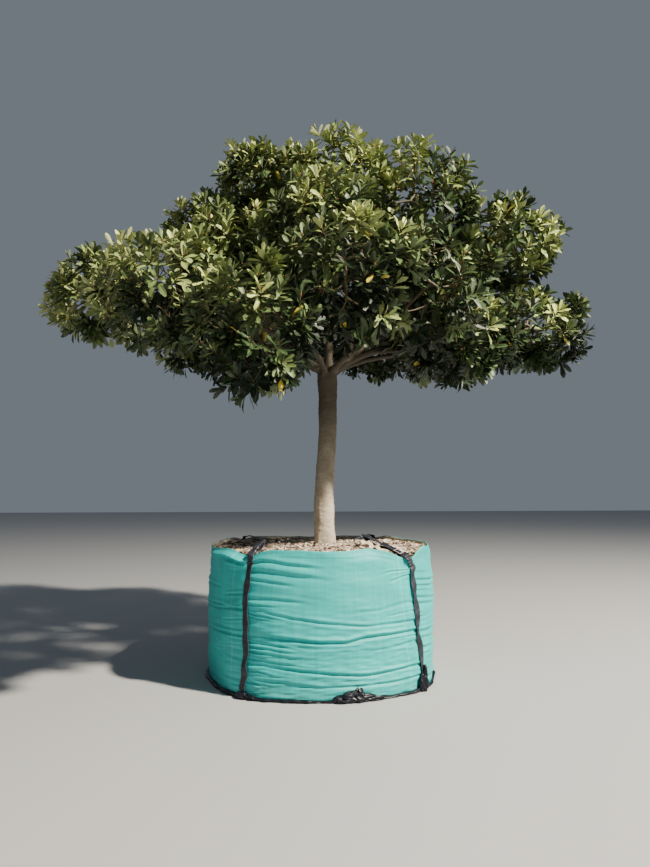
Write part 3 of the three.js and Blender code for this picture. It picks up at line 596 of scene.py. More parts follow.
def piece(name, points, faces, materials, slot_name, nodes, which=None, values=None, smooth=True):
    """A mesh piece on the root body. faces is an array of corners, or a list of such arrays.

    `which` gives each face its material, and `values` are vectors stored at the points.
    """
    groups = faces if isinstance(faces, list) else [faces]
    corners = np.concatenate([group.reshape(-1) for group in groups]).astype(np.int32)
    sizes = np.concatenate([np.full(len(group), group.shape[1]) for group in groups])
    points = np.asarray(points, np.float32).reshape(-1)
    mesh = bpy.data.meshes.new(name)
    mesh.vertices.add(len(points) // 3)
    mesh.vertices.foreach_set("co", points)
    mesh.loops.add(len(corners))
    mesh.loops.foreach_set("vertex_index", corners)
    mesh.polygons.add(len(sizes))
    mesh.polygons.foreach_set("loop_start", (np.cumsum(sizes) - sizes).astype(np.int32))
    mesh.update(calc_edges=True)
    mesh.polygons.foreach_set("use_smooth", np.full(len(sizes), smooth))
    for material in materials:
        mesh.materials.append(material)
    if which is not None:
        mesh.polygons.foreach_set("material_index", which.astype(np.int32))
    for label, value in (values or {}).items():
        made = mesh.attributes.new(label, "FLOAT_VECTOR", "POINT")
        made.data.foreach_set("vector", value.astype(np.float32).reshape(-1))
    mesh.validate()
    mesh.update()
    made = placed(name, mesh)
    if slot_name:
        settle(made, nodes)
    return made


def grid_faces(rows, columns, closed=False):
    """Four-cornered faces between rows of points; a closed row joins its last to its first."""
    here = np.arange(rows * columns).reshape(rows, columns)
    after = np.roll(here, -1, 1)
    corners = np.stack([here[:-1], after[:-1], after[1:], here[1:]], -1)
    return corners[:, : columns - (not closed)].reshape(-1, 4)


def fan(hub, rim):
    """Triangles from one point to each pair of neighbours round a rim."""
    return np.stack([np.full(len(rim), hub), rim, np.roll(rim, -1)], 1)


def repeated(faces, many, size):
    """The faces of one shape, for many copies of it with `size` points each."""
    return (faces + (np.arange(many) * size)[:, None, None]).reshape(-1, faces.shape[1])


def joined(parts):
    """Several (points, [faces...]) as one."""
    points, fours, threes, base = [], [], [], 0
    for own, groups in parts:
        for group in groups:
            (fours if group.shape[1] == 4 else threes).append(group + base)
        points.append(own)
        base += len(own)
    return np.concatenate(points), [np.concatenate(g) for g in (fours, threes) if g]


def ball_rings(polar, sides):
    """Rings of points over a ball of radius 1, so far from its top."""
    circle = round_axis(1.0, turns(sides), 0.0)
    return np.sin(polar)[:, None, None] * circle + np.cos(polar)[:, None, None] * UP


def sides_of(ways):
    """Two directions across each of a row of directions, turning as little as they can."""
    first = np.zeros_like(ways)
    aside = np.cross(ways[0], UP if abs(ways[0][2]) < 0.9 else ALONG_X)
    for i, way in enumerate(ways):
        aside = aside - way * (aside @ way)
        aside = aside / np.linalg.norm(aside)
        first[i] = aside
    return first, np.cross(ways, first)


def tube(line, radii, sides):
    """A round tube along a line of points, closed at both ends: its points and its faces."""
    ring = across_at(*sides_of(unit(np.gradient(line, axis=0))), turns(sides))
    points = (line[:, None] + ring * radii[:, None, None]).reshape(-1, 3)
    rim = np.arange(sides)
    foot = fan(len(points), rim)[:, [0, 2, 1]]
    head = fan(len(points) + 1, rim + len(points) - sides)
    caps = np.concatenate([foot, head])
    return np.concatenate([points, line[[0, -1]]]), [grid_faces(len(line), sides, True), caps]


def stems(points, ways, aside, radius, sides):
    """Thin stems, many at once, round the lines of points that they follow."""
    first = unit(np.cross(ways, aside))
    ring = across_at(first, np.cross(ways, first), turns(sides))
    skin = points[:, :, None] + ring * radius[..., None, None]
    many, rings = points.shape[:2]
    return skin.reshape(-1, 3), repeated(grid_faces(rings, sides, True), many, rings * sides)


def run_of(line):
    """How far along a line of points each of them is."""
    return np.concatenate([[0], np.cumsum(np.linalg.norm(np.diff(line, axis=0), axis=1))])


def at_runs(run, line, wanted):
    """The places on a line that are so far along it."""
    return np.stack([np.interp(wanted, run, part) for part in line.T], -1)


def eased(values, width):
    """Values along a line, smoothed, with both ends kept."""
    ends = [np.repeat(end, width // 2, 0) for end in (values[:1], values[-1:])]
    padded = np.concatenate([ends[0], values, ends[1]])
    window = np.ones(width) / width
    return np.stack([np.convolve(part, window, "valid") for part in padded.T], 1)


def smooth_line(knots, spacing):
    """A curve through the knots, with even spacing, and how far along each point is."""
    padded = np.concatenate([[2 * knots[0] - knots[1]], knots, [2 * knots[-1] - knots[-2]]])
    s = np.linspace(0, 1, 24, endpoint=False)[:, None]
    slopes = (padded[2:] - padded[:-2]) / 2
    found = [curve(*ends, s) for ends in zip(knots, knots[1:], slopes, slopes[1:])]
    found = np.concatenate(found + [knots[-1:]])
    run = run_of(found)
    even = np.linspace(0, run[-1], int(run[-1] / spacing))
    return at_runs(run, found, even), even


# The wood.


def middle_of(mass):
    bearing, out, height = MASSES[mass][:3]
    return round_axis(out, math.radians(bearing), height) * MM


def size_of(mass):
    wide, high = MASSES[mass][3:]
    return np.array([wide, wide, high]) * MM


def reach_of(mass, way):
    return 1 / np.linalg.norm(way / size_of(mass))


def line_point(limb, share):
    return at_runs(limb["run"], limb["line"], share)


def line_way(limb, share):
    before, after = (line_point(limb, share + s) for s in (-0.01, 0.01))
    return unit(after - before)


def make_limb_lines():
    """Each limb's line: out along what it grows from, bowed, and into its own mass."""
    stations = np.array(TRUNK_STATIONS) * MM
    limbs = {"trunk": {"line": stations[:, [1, 2, 0]], "run": np.linspace(0, 1, len(stations))}}
    s = np.linspace(0, 1, 121)[:, None]
    for name, (parent, at, mass, base, tip, bow) in LIMBS.items():
        start = line_point(limbs[parent], at)
        middle = middle_of(mass)
        back = unit(start + UP * 2 * bow * MM - middle)
        end = middle + back * reach_of(mass, back) * ENTRY_SHARE
        span = np.linalg.norm(end - start)
        leave = end - start + 3 * (line_way(limbs[parent], at) * span * FORK_RISE + UP * bow * MM)
        line = curve(start, end, leave, unit(middle - end) * span, s)
        run = run_of(line)
        limbs[name] = {
            "line": line, "run": run / run[-1], "length": run[-1], "mass": mass,
            "base": base * MM, "tip": tip * MM, "from": parent,
        }
    del limbs["trunk"]
    return limbs


def evenly(limb, spacing, upto=1.0):
    """Points along a limb at even spacing, how far along they are, and its radii there."""
    shares = np.linspace(0, upto, max(4, int(limb["length"] * upto / spacing)) + 1)
    radii = limb["base"] + (limb["tip"] - limb["base"]) * shares**0.8
    return line_point(limb, shares), shares * limb["length"], radii


def bark_relief(points):
    """Flutes, old branch scars and level wrinkles, in metres out of the bark."""
    x, y, z = (points - np.array([0.04, -0.057, 0])).T
    angle = np.arctan2(y, x)
    foot = np.exp(-((z - 1.035) / 0.12).clip(0))
    flutes = 0.010 * foot * np.sin(5 * angle + 0.6 + 0.8 * z) + 0.0022 * np.sin(3 * angle + 4 * z)
    lumps = 0.0022 * waves(round_axis(0.09, angle, z), 0.16, 3) + 0.0009 * waves(points, 0.035, 4)
    wrinkles = 0.0006 * waves(points * np.array([1, 1, 5.0]), 0.06, 5)
    scars = np.zeros(len(points))
    own = np.random.default_rng(12)
    for _ in range(16):
        at, height, size = own.uniform((0, 1.15, 0.012), (TURN, 2.5, 0.028))
        across = 0.088 * np.angle(np.exp(1j * (angle - at)))
        away = np.hypot(across, (z - height) * 1.5) / size
        scars += 0.35 * size * (np.exp(-(away**2)) * 0.6 - 0.55 * np.exp(-((away / 0.45) ** 2)))
    return flutes + lumps + wrinkles + scars


def make_trunk(limbs):
    """Trunk and the roots of its boughs as one skin, with the bark's own relief."""
    stations = np.array(TRUNK_STATIONS) * MM
    foot = stations[0, 0]
    heights = np.arange(foot - 0.02, stations[-1, 0] - 0.015, 0.012)
    x, y, radii = eased(at_runs(stations[:, 0], stations[:, 1:], heights), 9).T
    parts = [tube(np.stack([x, y, heights], 1), radii - 1.5 * MM, 48)]
    for limb in limbs.values():
        if limb["from"] == "trunk":
            path, run, radii = evenly(limb, 0.012, COLLAR / limb["length"])
            flare = radii * (1 + 0.55 * np.exp(-((run / FLARE) ** 1.4)))
            parts.append(tube(path, flare - 3 * MM * step(COLLAR * 0.7, COLLAR, run), 20))
    rough = piece("trunk_rough", *joined(parts), [], None, None)
    set_up(rough.modifiers.new("skin", "REMESH"), mode="VOXEL", voxel_size=SKIN_VOXEL)
    set_up(rough.modifiers.new("eased", "SMOOTH"), factor=0.5, iterations=9)
    whole = rough.evaluated_get(bpy.context.evaluated_depsgraph_get())
    mesh = bpy.data.meshes.new_from_object(whole)
    bpy.data.objects.remove(rough)
    points, outward = np.empty((2, len(mesh.vertices) * 3), np.float32)
    mesh.vertices.foreach_get("co", points)
    mesh.vertices.foreach_get("normal", outward)
    points, outward = (values.reshape(-1, 3).astype(float) for values in (points, outward))
    points += outward * bark_relief(points)[:, None]
    points[points[:, 2] < foot, 2] = foot
    mesh.vertices.foreach_set("co", points.astype(np.float32).reshape(-1))
    mesh.polygons.foreach_set("use_smooth", np.full(len(mesh.polygons), True))
    mesh.materials.append(BARK)
    mesh.update()
    settle(placed("trunk_bark", mesh), ["trunk"])


def make_boughs(limbs):
    """The limbs outside the trunk's skin, a little knotty, each thicker where it forks off."""
    parts = []
    for k, limb in enumerate(limbs.values(), 1):
        line, run, radii = evenly(limb, 0.022)
        if limb["from"] != "trunk":
            radii = radii * (1 + 0.45 * np.exp(-((run / 0.035) ** 1.4)))
        knots = 1 + 0.06 * waves(run[:, None] + 7 * k, 0.17, 20 + k, 5)
        points, groups = tube(line, radii * knots, 14)
        parts.append((points + shaken(points, 0.05, 31, 6) * 0.7 * MM, groups))
    # The boughs wear the darker bark, as painted shade.
    piece("boughs_bark", *joined(parts), [BARK_PAINTED_SHADE], "bark", list(limbs))


# Twigs, shoots and leaves.


def walls_of(mass):
    """The planes between a mass and its neighbours."""
    middle, ways, limits = middle_of(mass), [], []
    for other in MASSES:
        if other == mass:
            continue
        towards = middle_of(other) - middle
        apart = np.linalg.norm(towards)
        towards = towards / apart
        near, far = reach_of(mass, towards), reach_of(other, towards)
        limit = apart * near / (near + far)
        if limit < size_of(mass).max():
            ways.append(towards)
            limits.append(limit)
    return np.array(ways), np.array(limits)


def drawn_in(mass, start, points, share, slack):
    """Points pulled back towards start until they stand inside the mass's own space."""
    ways, limits = walls_of(mass)
    middle, size = middle_of(mass), size_of(mass)
    points = points.copy()
    for _ in range(7):
        offset = points - middle
        outside = np.linalg.norm(offset / size, axis=1) > share
        outside |= (offset @ ways.T > limits + slack).any(1)
        points[outside] = start + (points[outside] - start) * 0.85
    return points


def spread_over(count, turned):
    """Directions spread evenly over a ball by the golden angle."""
    up = 1 - 2 * (np.arange(count) + 0.5) / count
    turn = turned + np.arange(count) * GOLDEN_ANGLE
    return round_axis(np.sqrt(1 - up * up), turn, up)


def make_sprays(mass):
    """The middle of each spray of a mass, and the shoot tips and shoot directions over it."""
    middle, size = middle_of(mass), size_of(mass)
    ways = spread_over(SPRAYS, draw.uniform(0, TURN))
    share = SPRAY_SHARE * draw.uniform(*SPRAY_UNEVEN, (SPRAYS, 1))
    sprays = []
    for centre in drawn_in(mass, middle, middle + ways * size * share, 1.0, 0.0):
        outward = unit(unit((centre - middle) / size) + 0.3 * UP + 0.12 * draw.normal(size=3))
        dome = spread_over(2 * SHOOTS_EACH, draw.uniform(0, TURN))[:SHOOTS_EACH]
        aside = unit(np.cross(outward, [0.3, 0.2, 0.93]))
        turned = dome @ np.stack([aside, np.cross(outward, aside), outward])
        reach = draw.uniform(*SPRAY_SPREAD, (SHOOTS_EACH, 1))
        tips = drawn_in(mass, centre, centre + turned * reach, draw.uniform(*TIP_SHARE), WALL_SLACK)
        tips = np.clip(tips, *CROWN_REACH)
        axes = 0.6 * turned + 0.3 * outward + 0.6 * UP + 0.16 * draw.normal(size=(SHOOTS_EACH, 3))
        sprays.append((centre, tips, unit(axes)))
    return sprays


def halves(tips):
    """Splits tips into two groups, across the way in which they spread furthest."""
    far = np.argmax(np.linalg.norm(tips - tips[0], axis=1))
    order = np.argsort(tips @ (tips[far] - tips[0]), kind="stable")
    half = (len(tips) + 1) // 2
    return order[:half], order[half:]


def fork(start, way, pull, tips, axes, bears, twigs):
    """Divides a stem in two. Each half leaves along the stem's way, pulled to its own tips."""
    for group in halves(tips):
        leaving = unit(pull * way + unit(tips[group].mean(0) - start))
        branch(start, leaving, tips[group], axes[group], bears[group], twigs)


def branch(start, way, tips, axes, bears, twigs):
    """From one stem, goes part of the way to the tips, and then divides."""
    total = bears.sum()
    radius = SHOOT_RADIUS * total**PIPE_POWER
    if len(tips) == 1:
        twigs.append((start, tips[0], way, axes[0], radius, radius * (0.8 if total > 1 else 0.7)))
        return
    knee = start + (tips.mean(0) - start) * KNEE_SHARE
    knee = knee + draw.normal(size=3) * 0.1 * np.linalg.norm(knee - start)
    onward = unit(0.6 * way + unit(knee - start))
    twigs.append((start, knee, way, onward, radius, radius * 0.88))
    fork(knee, onward, 0.45, tips, axes, bears, twigs)


def grow(limbs):
    """Every mass's twigs, and its shoots with the mass and spray that each belongs to."""
    twigs, shoots = [], []
    for number, limb in enumerate(limbs.values()):
        middle = middle_of(limb["mass"])
        stem, way = line_point(limb, 1.0), line_way(limb, 1.0)
        sprays = make_sprays(limb["mass"])
        centres = np.array([spray[0] for spray in sprays])
        outward = np.array([unit(spray[2].mean(0)) for spray in sprays])
        bears = np.full(SPRAYS, float(SHOOTS_EACH))
        radius = SHOOT_RADIUS * bears.sum() ** PIPE_POWER
        twigs.append((stem - way * 0.03, middle, way, way, limb["tip"], radius))
        branch(middle, way, centres, outward, bears, twigs)
        for spray, (centre, tips, axes) in enumerate(sprays):
            fork(centre, outward[spray], 0.5, tips, axes, np.ones(len(tips)), twigs)
            shoots += [(tip, axis, number, spray) for tip, axis in zip(tips, axes)]
        for spray, share in enumerate(INNER_SHARES, SPRAYS):
            grow_inner(limb, share + draw.uniform(-0.05, 0.05), (number, spray), twigs, shoots)
    return twigs, shoots


def grow_inner(limb, share, owner, twigs, shoots):
    """A short spray from a limb's side, where it has left the fork behind."""
    foot, way = line_point(limb, share), line_way(limb, share)
    if foot[2] < FORK_TOP or np.hypot(*(foot[:2] - FORK_MIDDLE)) < FORK_NEAR:
        return
    tips, axes = [], []
    leaning = unit(draw.normal(size=3) + [0, 0, draw.choice([-0.9, 0.3])])
    leaning = unit(leaning - way * (leaning @ way) + 0.3 * way)
    centre = foot + leaning * draw.uniform(*INNER_REACH) * 0.45
    for _ in range(INNER_SHOOTS):
        onward = unit(leaning + 0.62 * draw.normal(size=3))
        tips.append(foot + onward * draw.uniform(*INNER_REACH))
        axes.append(unit(onward + 0.25 * UP))
    twigs.append((foot, centre, leaning, leaning, 7 * MM, 5.5 * MM))
    fork(centre, leaning, 0.5, np.array(tips), np.array(axes), np.ones(INNER_SHOOTS), twigs)
    shoots += [(tip, axis, *owner) for tip, axis in zip(tips, axes)]


def bent(start, end, leave, arrive, rings):
    """The points and directions along twigs, which leave and arrive along their own ways."""
    length = np.linalg.norm(end - start, axis=1)[:, None]
    a, b, c, d = start[:, None], end[:, None], (leave * length)[:, None], (arrive * length)[:, None]
    s = np.linspace(0, 1, rings)[:, None]
    ways = (6 * s**2 - 6 * s) * (a - b) + (3 * s**2 - 4 * s + 1) * c + (3 * s**2 - 2 * s) * d
    return curve(a, b, c, d, s), unit(ways)


def make_twigs(twigs):
    """Twigs as thin stems. The thick ones get more rings and sides."""
    radii = np.array([twig[4] for twig in twigs])
    thick = radii > 2.2 * SHOOT_RADIUS
    parts = []
    for chosen, rings, sides in ((thick, 7, 7), (~thick, 4, 4)):
        some = [twig for twig, keep in zip(twigs, chosen) if keep]
        start, end, leave, arrive, base, tip = (np.array(field) for field in zip(*some))
        points, ways = bent(start, end, leave, arrive, rings)
        radius = base[:, None] + (tip - base)[:, None] * np.linspace(0, 1, rings)
        chord = unit(points[:, -1] - points[:, 0])
        aside = np.where(np.abs(chord[:, 2:]) < 0.85, UP, ALONG_X)
        skin, faces = stems(points, ways, aside[:, None], radius, sides)
        parts.append((skin, [faces]))
    piece("twigs", *joined(parts), [TWIG], "bark", FOLIAGE)


def across_shoot(axis, turn):
    aside = unit(np.cross(axis, UP + 0.01))
    return across_at(aside, np.cross(axis, aside), turn)


def leaves_on(shoots):
    """Foot, direction, face, length and shoot of every leaf, in rosettes at the shoot tips."""
    found = []
    for owner, (tip, axis, _, _) in enumerate(shoots):
        count = draw.integers(*LEAVES_EACH, endpoint=True)
        order = np.arange(count)
        turn = draw.uniform(0, TURN) + order * GOLDEN_ANGLE + 0.2 * draw.normal(size=count)
        outward = across_shoot(axis, turn)
        share = order / (count - 1)
        opens = np.radians(20 + 68 * share**0.9 + 9 * draw.normal(size=count))[:, None]
        way = np.cos(opens) * axis + np.sin(opens) * outward
        way = unit(way - UP * (0.02 + 0.22 * share[:, None]))
        face = np.sin(opens) * axis - np.cos(opens) * outward
        face = face + UP * 0.4 + 0.3 * draw.normal(size=(count, 3))
        face = unit(face - way * (face * way).sum(1, keepdims=True))
        short, long = LEAF_LENGTH
        length = short + (long - short) * np.sin(np.pi * (0.12 + 0.6 * share))
        foot = tip - axis * (order[:, None] * LEAF_ROOM) + outward * SHOOT_RADIUS * 0.5
        length = length * draw.uniform(0.86, 1.12, count)
        found.append((foot, way, face, length, np.full(count, owner)))
    return [np.concatenate(field) for field in zip(*found)]


def leaf_tints(shoots):
    """A tint for each shoot, dealt by spray: lighter outside, high and left, darker inside, as painted
    light and shade.
    """
    tips = np.array([shoot[0] for shoot in shoots])
    sprays = np.array([number * 100 + spray for _, _, number, spray in shoots])
    chance = {spray: draw.normal() for spray in np.unique(sprays)}
    painted_light_and_luck = 0.5 * np.array([chance[spray] for spray in sprays])
    painted_light_and_luck = painted_light_and_luck + 0.65 * draw.normal(size=len(shoots))
    outer = np.linalg.norm((tips - [0, 0, 2.9]) * [1, 1, 1.1], axis=1)
    masses = [MASS_OF[number] for _, _, number, _ in shoots]
    middles, sizes = (np.array([of(mass)[2] for mass in masses]) for of in (middle_of, size_of))
    raised = (tips[:, 2] - middles) / sizes
    # Painted light and shade: lighter tints on the crown's outside, at the top of each mass and of the
    # crown, and on its left; darker on the inner sprays.
    painted_light_and_luck += 0.45 * (outer - 1.5) + 1.1 * raised.clip(-1, 1) - 1.6 * (sprays % 100 >= SPRAYS)
    painted_light_and_luck += 0.35 * (tips[:, 2] - 3.5) - 0.24 * tips[:, 0]
    rank = np.argsort(np.argsort(painted_light_and_luck)) / len(shoots)
    return np.searchsorted(np.cumsum(TINT_SHARES)[:-1], rank)


def make_leaves(shoots):
    """Every leaf in its own outline, folded along its midrib, with a face of its own below."""
    feet, ways, faces, lengths, owners = leaves_on(shoots)
    count, corners = len(feet), len(LEAF_POINTS)
    across = np.cross(faces, ways)
    curl = draw.normal(0.13, 0.09, count)
    fold = draw.uniform(0.10, 0.42, count)
    along, side = LEAF_POINTS.T
    out = fold[:, None] * np.abs(side) - curl[:, None] * along**2
    out = out + 0.02 * draw.normal(size=(count, corners)) * (LEAF_EDGE != 0)
    narrow = draw.uniform(0.85, 1.08, count)[:, None]
    shape = np.stack([np.broadcast_to(along, out.shape), side * narrow, out], -1)
    top = shape @ np.stack([ways, across, faces], 1)
    top = feet[:, None] + top * lengths[:, None, None]
    below = top - faces[:, None] * (LEAF_RIB * RIB_DEPTH)[:, None]
    tints = leaf_tints(shoots)[owners]
    tints[draw.random(count) < YELLOWED] = len(LEAF_TINTS) - 1
    both = np.concatenate([LEAF_FACES, LEAF_FACES[:, ::-1] + corners])
    blade = np.tile(np.stack([along, LEAF_EDGE, along * 0], 1), (2, 1))
    for tint, (name, colour, rib, under) in enumerate(LEAF_TINTS):
        own = tints == tint
        many = own.sum()
        # Leathery leaf, underside: paler, yellower and dull.
        looks = [leaf_face(f"leaf_{name}_upper", colour, rib), finish(f"leaf_{name}_under", under, 0.62)]
        which = np.tile(np.repeat([0, 1], len(LEAF_FACES)), many)
        piece(
            f"leaves_{name}", np.concatenate([top[own], below[own]], 1),
            repeated(both, many, 2 * corners), looks, "foliage", FOLIAGE, which,
            {"blade": np.tile(blade, (many, 1))},
        )


def make_fruit(shoots):
    """Figs of 9 to 13 mm, two to four together behind the rosette of some shoots."""
    centres = []
    low, high = zip((0, TURN), FIG_BEHIND)
    for tip, axis, _, _ in shoots:
        if draw.random() <= FRUITING:
            turn, behind = draw.uniform(low, high, (draw.integers(2, 5), 2)).T
            centres.append(tip - axis * behind[:, None] + across_shoot(axis, turn) * FIG_ASIDE)
    centres = np.concatenate(centres)
    sizes = draw.uniform(*FIG_RADIUS, len(centres)) * MM
    rings, sides = 3, 8
    polar = np.linspace(0, np.pi, rings + 2)[1:-1]
    ball = np.concatenate([ball_rings(polar, sides).reshape(-1, 3), [UP, -UP]])
    rim, head = np.arange(sides), rings * sides
    foot = fan(head + 1, rim + head - sides)[:, [0, 2, 1]]
    caps = np.concatenate([fan(head, rim), foot])
    points = centres[:, None] + ball * sizes[:, None, None]
    walls = grid_faces(rings, sides, True)[:, ::-1]
    faces = [repeated(group, len(centres), len(ball)) for group in (walls, caps)]
    piece("figs", points, faces, [FIG], "foliage", FOLIAGE)


def make_buds(shoots):
    """A pointed, reddish sheath on each shoot tip, 18 to 34 mm long."""
    tips, axes = (np.array([shoot[k] for shoot in shoots]) for k in (0, 1))
    ends = tips + axes * draw.uniform(*BUD_LENGTH, len(tips))[:, None]
    arrive = unit(axes + 0.12 * draw.normal(size=axes.shape))
    points, ways = bent(tips - axes * 6 * MM, ends, axes, arrive, 3)
    radius = np.array([3.4, 3.0, 0.3]) * MM
    skin, faces = stems(points, ways, UP + 0.013, radius, 5)
    piece("buds", skin, faces, [BUD], "foliage", FOLIAGE)


# The bag.


def bag_radius(height):
    return BAG_HALF_WIDTH + BAG_BULGE * np.sin(np.pi * np.clip(height, 0, BAG_HEIGHT) / BAG_HEIGHT)


def corner_factor(angle):
    return 1 + CORNER_REACH * np.sin(2 * angle) ** 4


def rim_height(angle):
    bearings, heights = np.array(RIM, float).T
    return np.interp(np.degrees(angle) % 360, bearings, heights) * MM


def strap_angle(name, height):
    bearing, lean = STRAPS[name][:2]
    return np.radians(bearing + np.interp(height, LEAN_HEIGHTS, lean))


def panel_angle(side, share, height):
    first, last = (strap_angle(EDGES[k % 4], height) for k in (side, side + 1))
    return first + share * ((last - first) % TURN)


def make_folds(side):
    """Long folds that sag between the straps, and short ones that gather beside each strap."""
    own = np.random.default_rng(60 + side)
    folds = [] if side else list(FRONT_FOLDS)
    for height in np.linspace(110, 900, 11) if side else []:
        height = height + own.uniform(-30, 30)
        if own.random() < 0.5:
            ends = sorted(own.uniform(0.02, 0.98, 2))
        else:
            ends = [0.02, own.uniform(0.6, 0.97)]
        if ends[1] - ends[0] < 0.3:
            ends = [0.03, 0.7]
        shares = np.linspace(*ends, 6)
        sag = own.uniform(20, 85) * np.sin(np.pi * np.clip(shares * 0.8 + 0.1, 0, 1))
        tilt = own.uniform(-40, 40) * (shares - 0.5)
        depth, wide = own.uniform((4, 9), (12, 15))
        level = height - sag + tilt + own.normal(0, 4, 6)
        folds.append((depth, wide, list(zip(shares, level))))
    for _ in range(16 if side else 8):
        left = own.random() < 0.5
        long, height, fall = own.uniform((0.08, 90, -10), (0.2, 980, 45))
        ends = (0.03, 0.03 + long) if left else (0.97, 0.97 - long)
        depth, wide = own.uniform((2.5, 6), (6, 11))
        folds.append((depth, wide, sorted(zip(ends, (height, height - fall)))))
    return folds


def fold_relief(folds, share, height):
    """How far the folds press the cloth in or out, in metres.

    A fold fades out at its ends, but runs on under a strap that it starts or ends beside.
    """
    relief = 0.0
    for depth, wide, line in folds:
        across, level = np.array(line, float).T
        first, last = across[[0, -1]]
        reach = last - first
        if last > 0.9:
            fade = step(first - 0.02, first + 0.3 * reach, share)
        elif first < 0.08:
            fade = 1 - step(last - 0.4 * reach, last + 0.02, share)
        else:
            fade = step(first - 0.02, first + 0.18 * reach, share)
            fade = fade * (1 - step(last - 0.3 * reach, last + 0.02, share))
        away = (height / MM - np.interp(share, across, level)) / wide
        hollow = -np.exp(-(away**2))
        ridge = 0.75 * np.exp(-(((away - 1.7) / 1.2) ** 2))
        lip = 0.25 * np.exp(-(((away + 1.9) / 1.3) ** 2))
        relief = relief + depth * MM * fade * (hollow + ridge + lip)
    return relief


FOLDS = [make_folds(side) for side in range(4)]


def cloth_stand(side, share, angle, height):
    """How far the cloth stands out of the soil's side: folds, soft waves and tight corners."""
    around = round_axis(0.95, angle, height * 2.6)
    low = step(0.15, 0.8, 1 - height)
    soft = (0.0005 + 0.0011 * low) * waves(around * [1, 1, 2.2], 0.16, 72)
    soft = 0.0040 * waves(around, 0.42, 71) + soft
    fine = np.abs(waves(around * [1, 1, 4.5], 0.5, 74))
    fine = fine + 0.5 * np.abs(waves(around * [1, 1, 5], 0.2, 75))
    fine = 0.0030 * (0.8 - fine) * (0.1 + 0.9 * low)
    free = 0.6 + 0.4 * step(0.0, 0.05, 1.5 * np.minimum(share, 1 - share))
    relief = fold_relief(FOLDS[side], share, height)
    pillow = np.sin(np.pi * share) ** 0.7 * np.sin(np.pi * np.clip(height / 1.1, 0, 1)) ** 0.6
    return np.maximum(CLOTH_STAND + (soft + relief + fine) * free + 0.010 * pillow, -0.002)


def collar(side, share, height):
    """On the left face the hem rolls outward beside the strap, with a second fold below it."""
    if side != 3:
        return 0.0
    beside = step(0.5, 0.75, share) * (1 - step(0.93, 0.99, share))
    roll = step(1.10, 1.052, height) * (1 - step(1.052, 1.030, height)) * 0.046
    fold = step(1.025, 0.995, height) * (1 - step(0.995, 0.975, height)) * 0.018
    return (roll + fold * step(0.78, 0.9, share)) * beside


def make_bag():
    """The sack in four panels that meet under the straps, folded in over its rim."""
    share = np.linspace(0, 1, BAG_COLUMNS)
    rise = np.concatenate([np.linspace(0.02, 0.94, 166), np.linspace(0.945, BAG_HEIGHT, 40)])
    for side, name in enumerate(("front", "right", "back", "left")):
        angle = panel_angle(side, share, 0.0)
        rows = [(out, 0.0, angle) for out in (0.02, 0.5, 0.86)]
        stand = cloth_stand(side, share, angle, rise[0])
        for turn in np.radians([0, 25, 50, 72]):
            out = bag_radius(0.02) + stand - FOOT_ROUND * (1 - np.sin(turn))
            rows.append((out * corner_factor(angle), 0.02 * (1 - np.cos(turn)), angle))
        for height in rise:
            angle = panel_angle(side, share, height)
            ring = round_axis(1.0, angle, 0.0)[:, :2]
            ripple = 0.004 * waves(ring * 0.95, 0.22, 81)
            lean = (0.012 * waves(ring, 0.5, 82) - 0.004) * step(1.0, 1.1, height)
            stand = cloth_stand(side, share, angle, height) + 0.0022 * step(1.05, 1.056, height)
            out = bag_radius(height) + stand + collar(side, share, height) + lean
            lift = (rim_height(angle) - BAG_HEIGHT + ripple) * step(0.88, BAG_HEIGHT, height)
            rows.append((out * corner_factor(angle), height + lift, angle))
        out, up, angle = rows[-1]
        rows += [(out - inward, up + lift, angle) for inward, lift in HEM + LINING_DROPS]
        out, up, angle = (
            np.array([np.broadcast_to(row[k], BAG_COLUMNS) for row in rows]) for k in range(3)
        )
        rises = np.hypot(np.diff(out, axis=0), np.diff(up, axis=0))
        run = np.cumsum(np.concatenate([np.zeros((1, BAG_COLUMNS)), rises]), 0)
        across = np.broadcast_to(share * PANEL_RUN + side * PANEL_STEP, out.shape)
        lined = np.arange(len(rows) - 1) >= len(rows) - 1 - len(LINING_DROPS)
        piece(
            f"bag_{name}", round_axis(out, angle, up), grid_faces(len(rows), BAG_COLUMNS),
            [CLOTH, LINING], "bag", ["bag"], np.repeat(lined, BAG_COLUMNS - 1),
            {"cloth": np.stack([across, np.maximum(up, 0), run], -1)},
        )


def ribbon(line, across, out, wide, thick):
    """A band of webbing: points on both faces from edge to edge, closed round, and its faces."""
    back = [*zip(WEB_EDGE[-2:0:-1], -WEB_FACE[-2:0:-1])]
    shape = np.array([*zip(WEB_EDGE, WEB_FACE), *back])
    points = line[:, None] + across[:, None] * (shape[:, :1] * wide[:, None, None] / 2)
    points = points + out[:, None] * thick * shape[:, 1:]
    return points, grid_faces(len(line), len(shape), True)


def make_lining_tongue():
    """A strip of the lining that has come in over the chips beside the front right strap."""
    line, run = smooth_line(np.array(TONGUE) * MM, 0.008)
    ways = unit(np.gradient(line, axis=0))
    lean = unit(np.array([0.15, -0.75, 0.65]) + 0.18 * shaken(run[:, None], 0.12, 151, 5))
    across = unit(np.cross(lean, ways))
    wide = 0.062 * (1 + 0.12 * waves(run[:, None], 0.1, 154, 5))
    points, faces = ribbon(line, across, np.cross(ways, across), wide, 0.004)
    piece("lining_tongue", points, faces, [LINING], "bag", ["bag"])


def strap_climb(name):
    """The strap's line up the cloth to just under the rim, and the way it faces there."""
    heights = np.linspace(0.03, rim_height(strap_angle(name, BAG_HEIGHT)) - 0.016, 60)
    angle = strap_angle(name, heights)
    stand = cloth_stand(EDGES.index(name), np.zeros(len(heights)), angle, heights)
    stand = np.maximum(stand, CLOTH_STAND)
    out = (bag_radius(heights) + stand) * corner_factor(angle) + 0.0085
    return eased(round_axis(out, angle, heights), 7), round_axis(1.0, angle, 0.0)


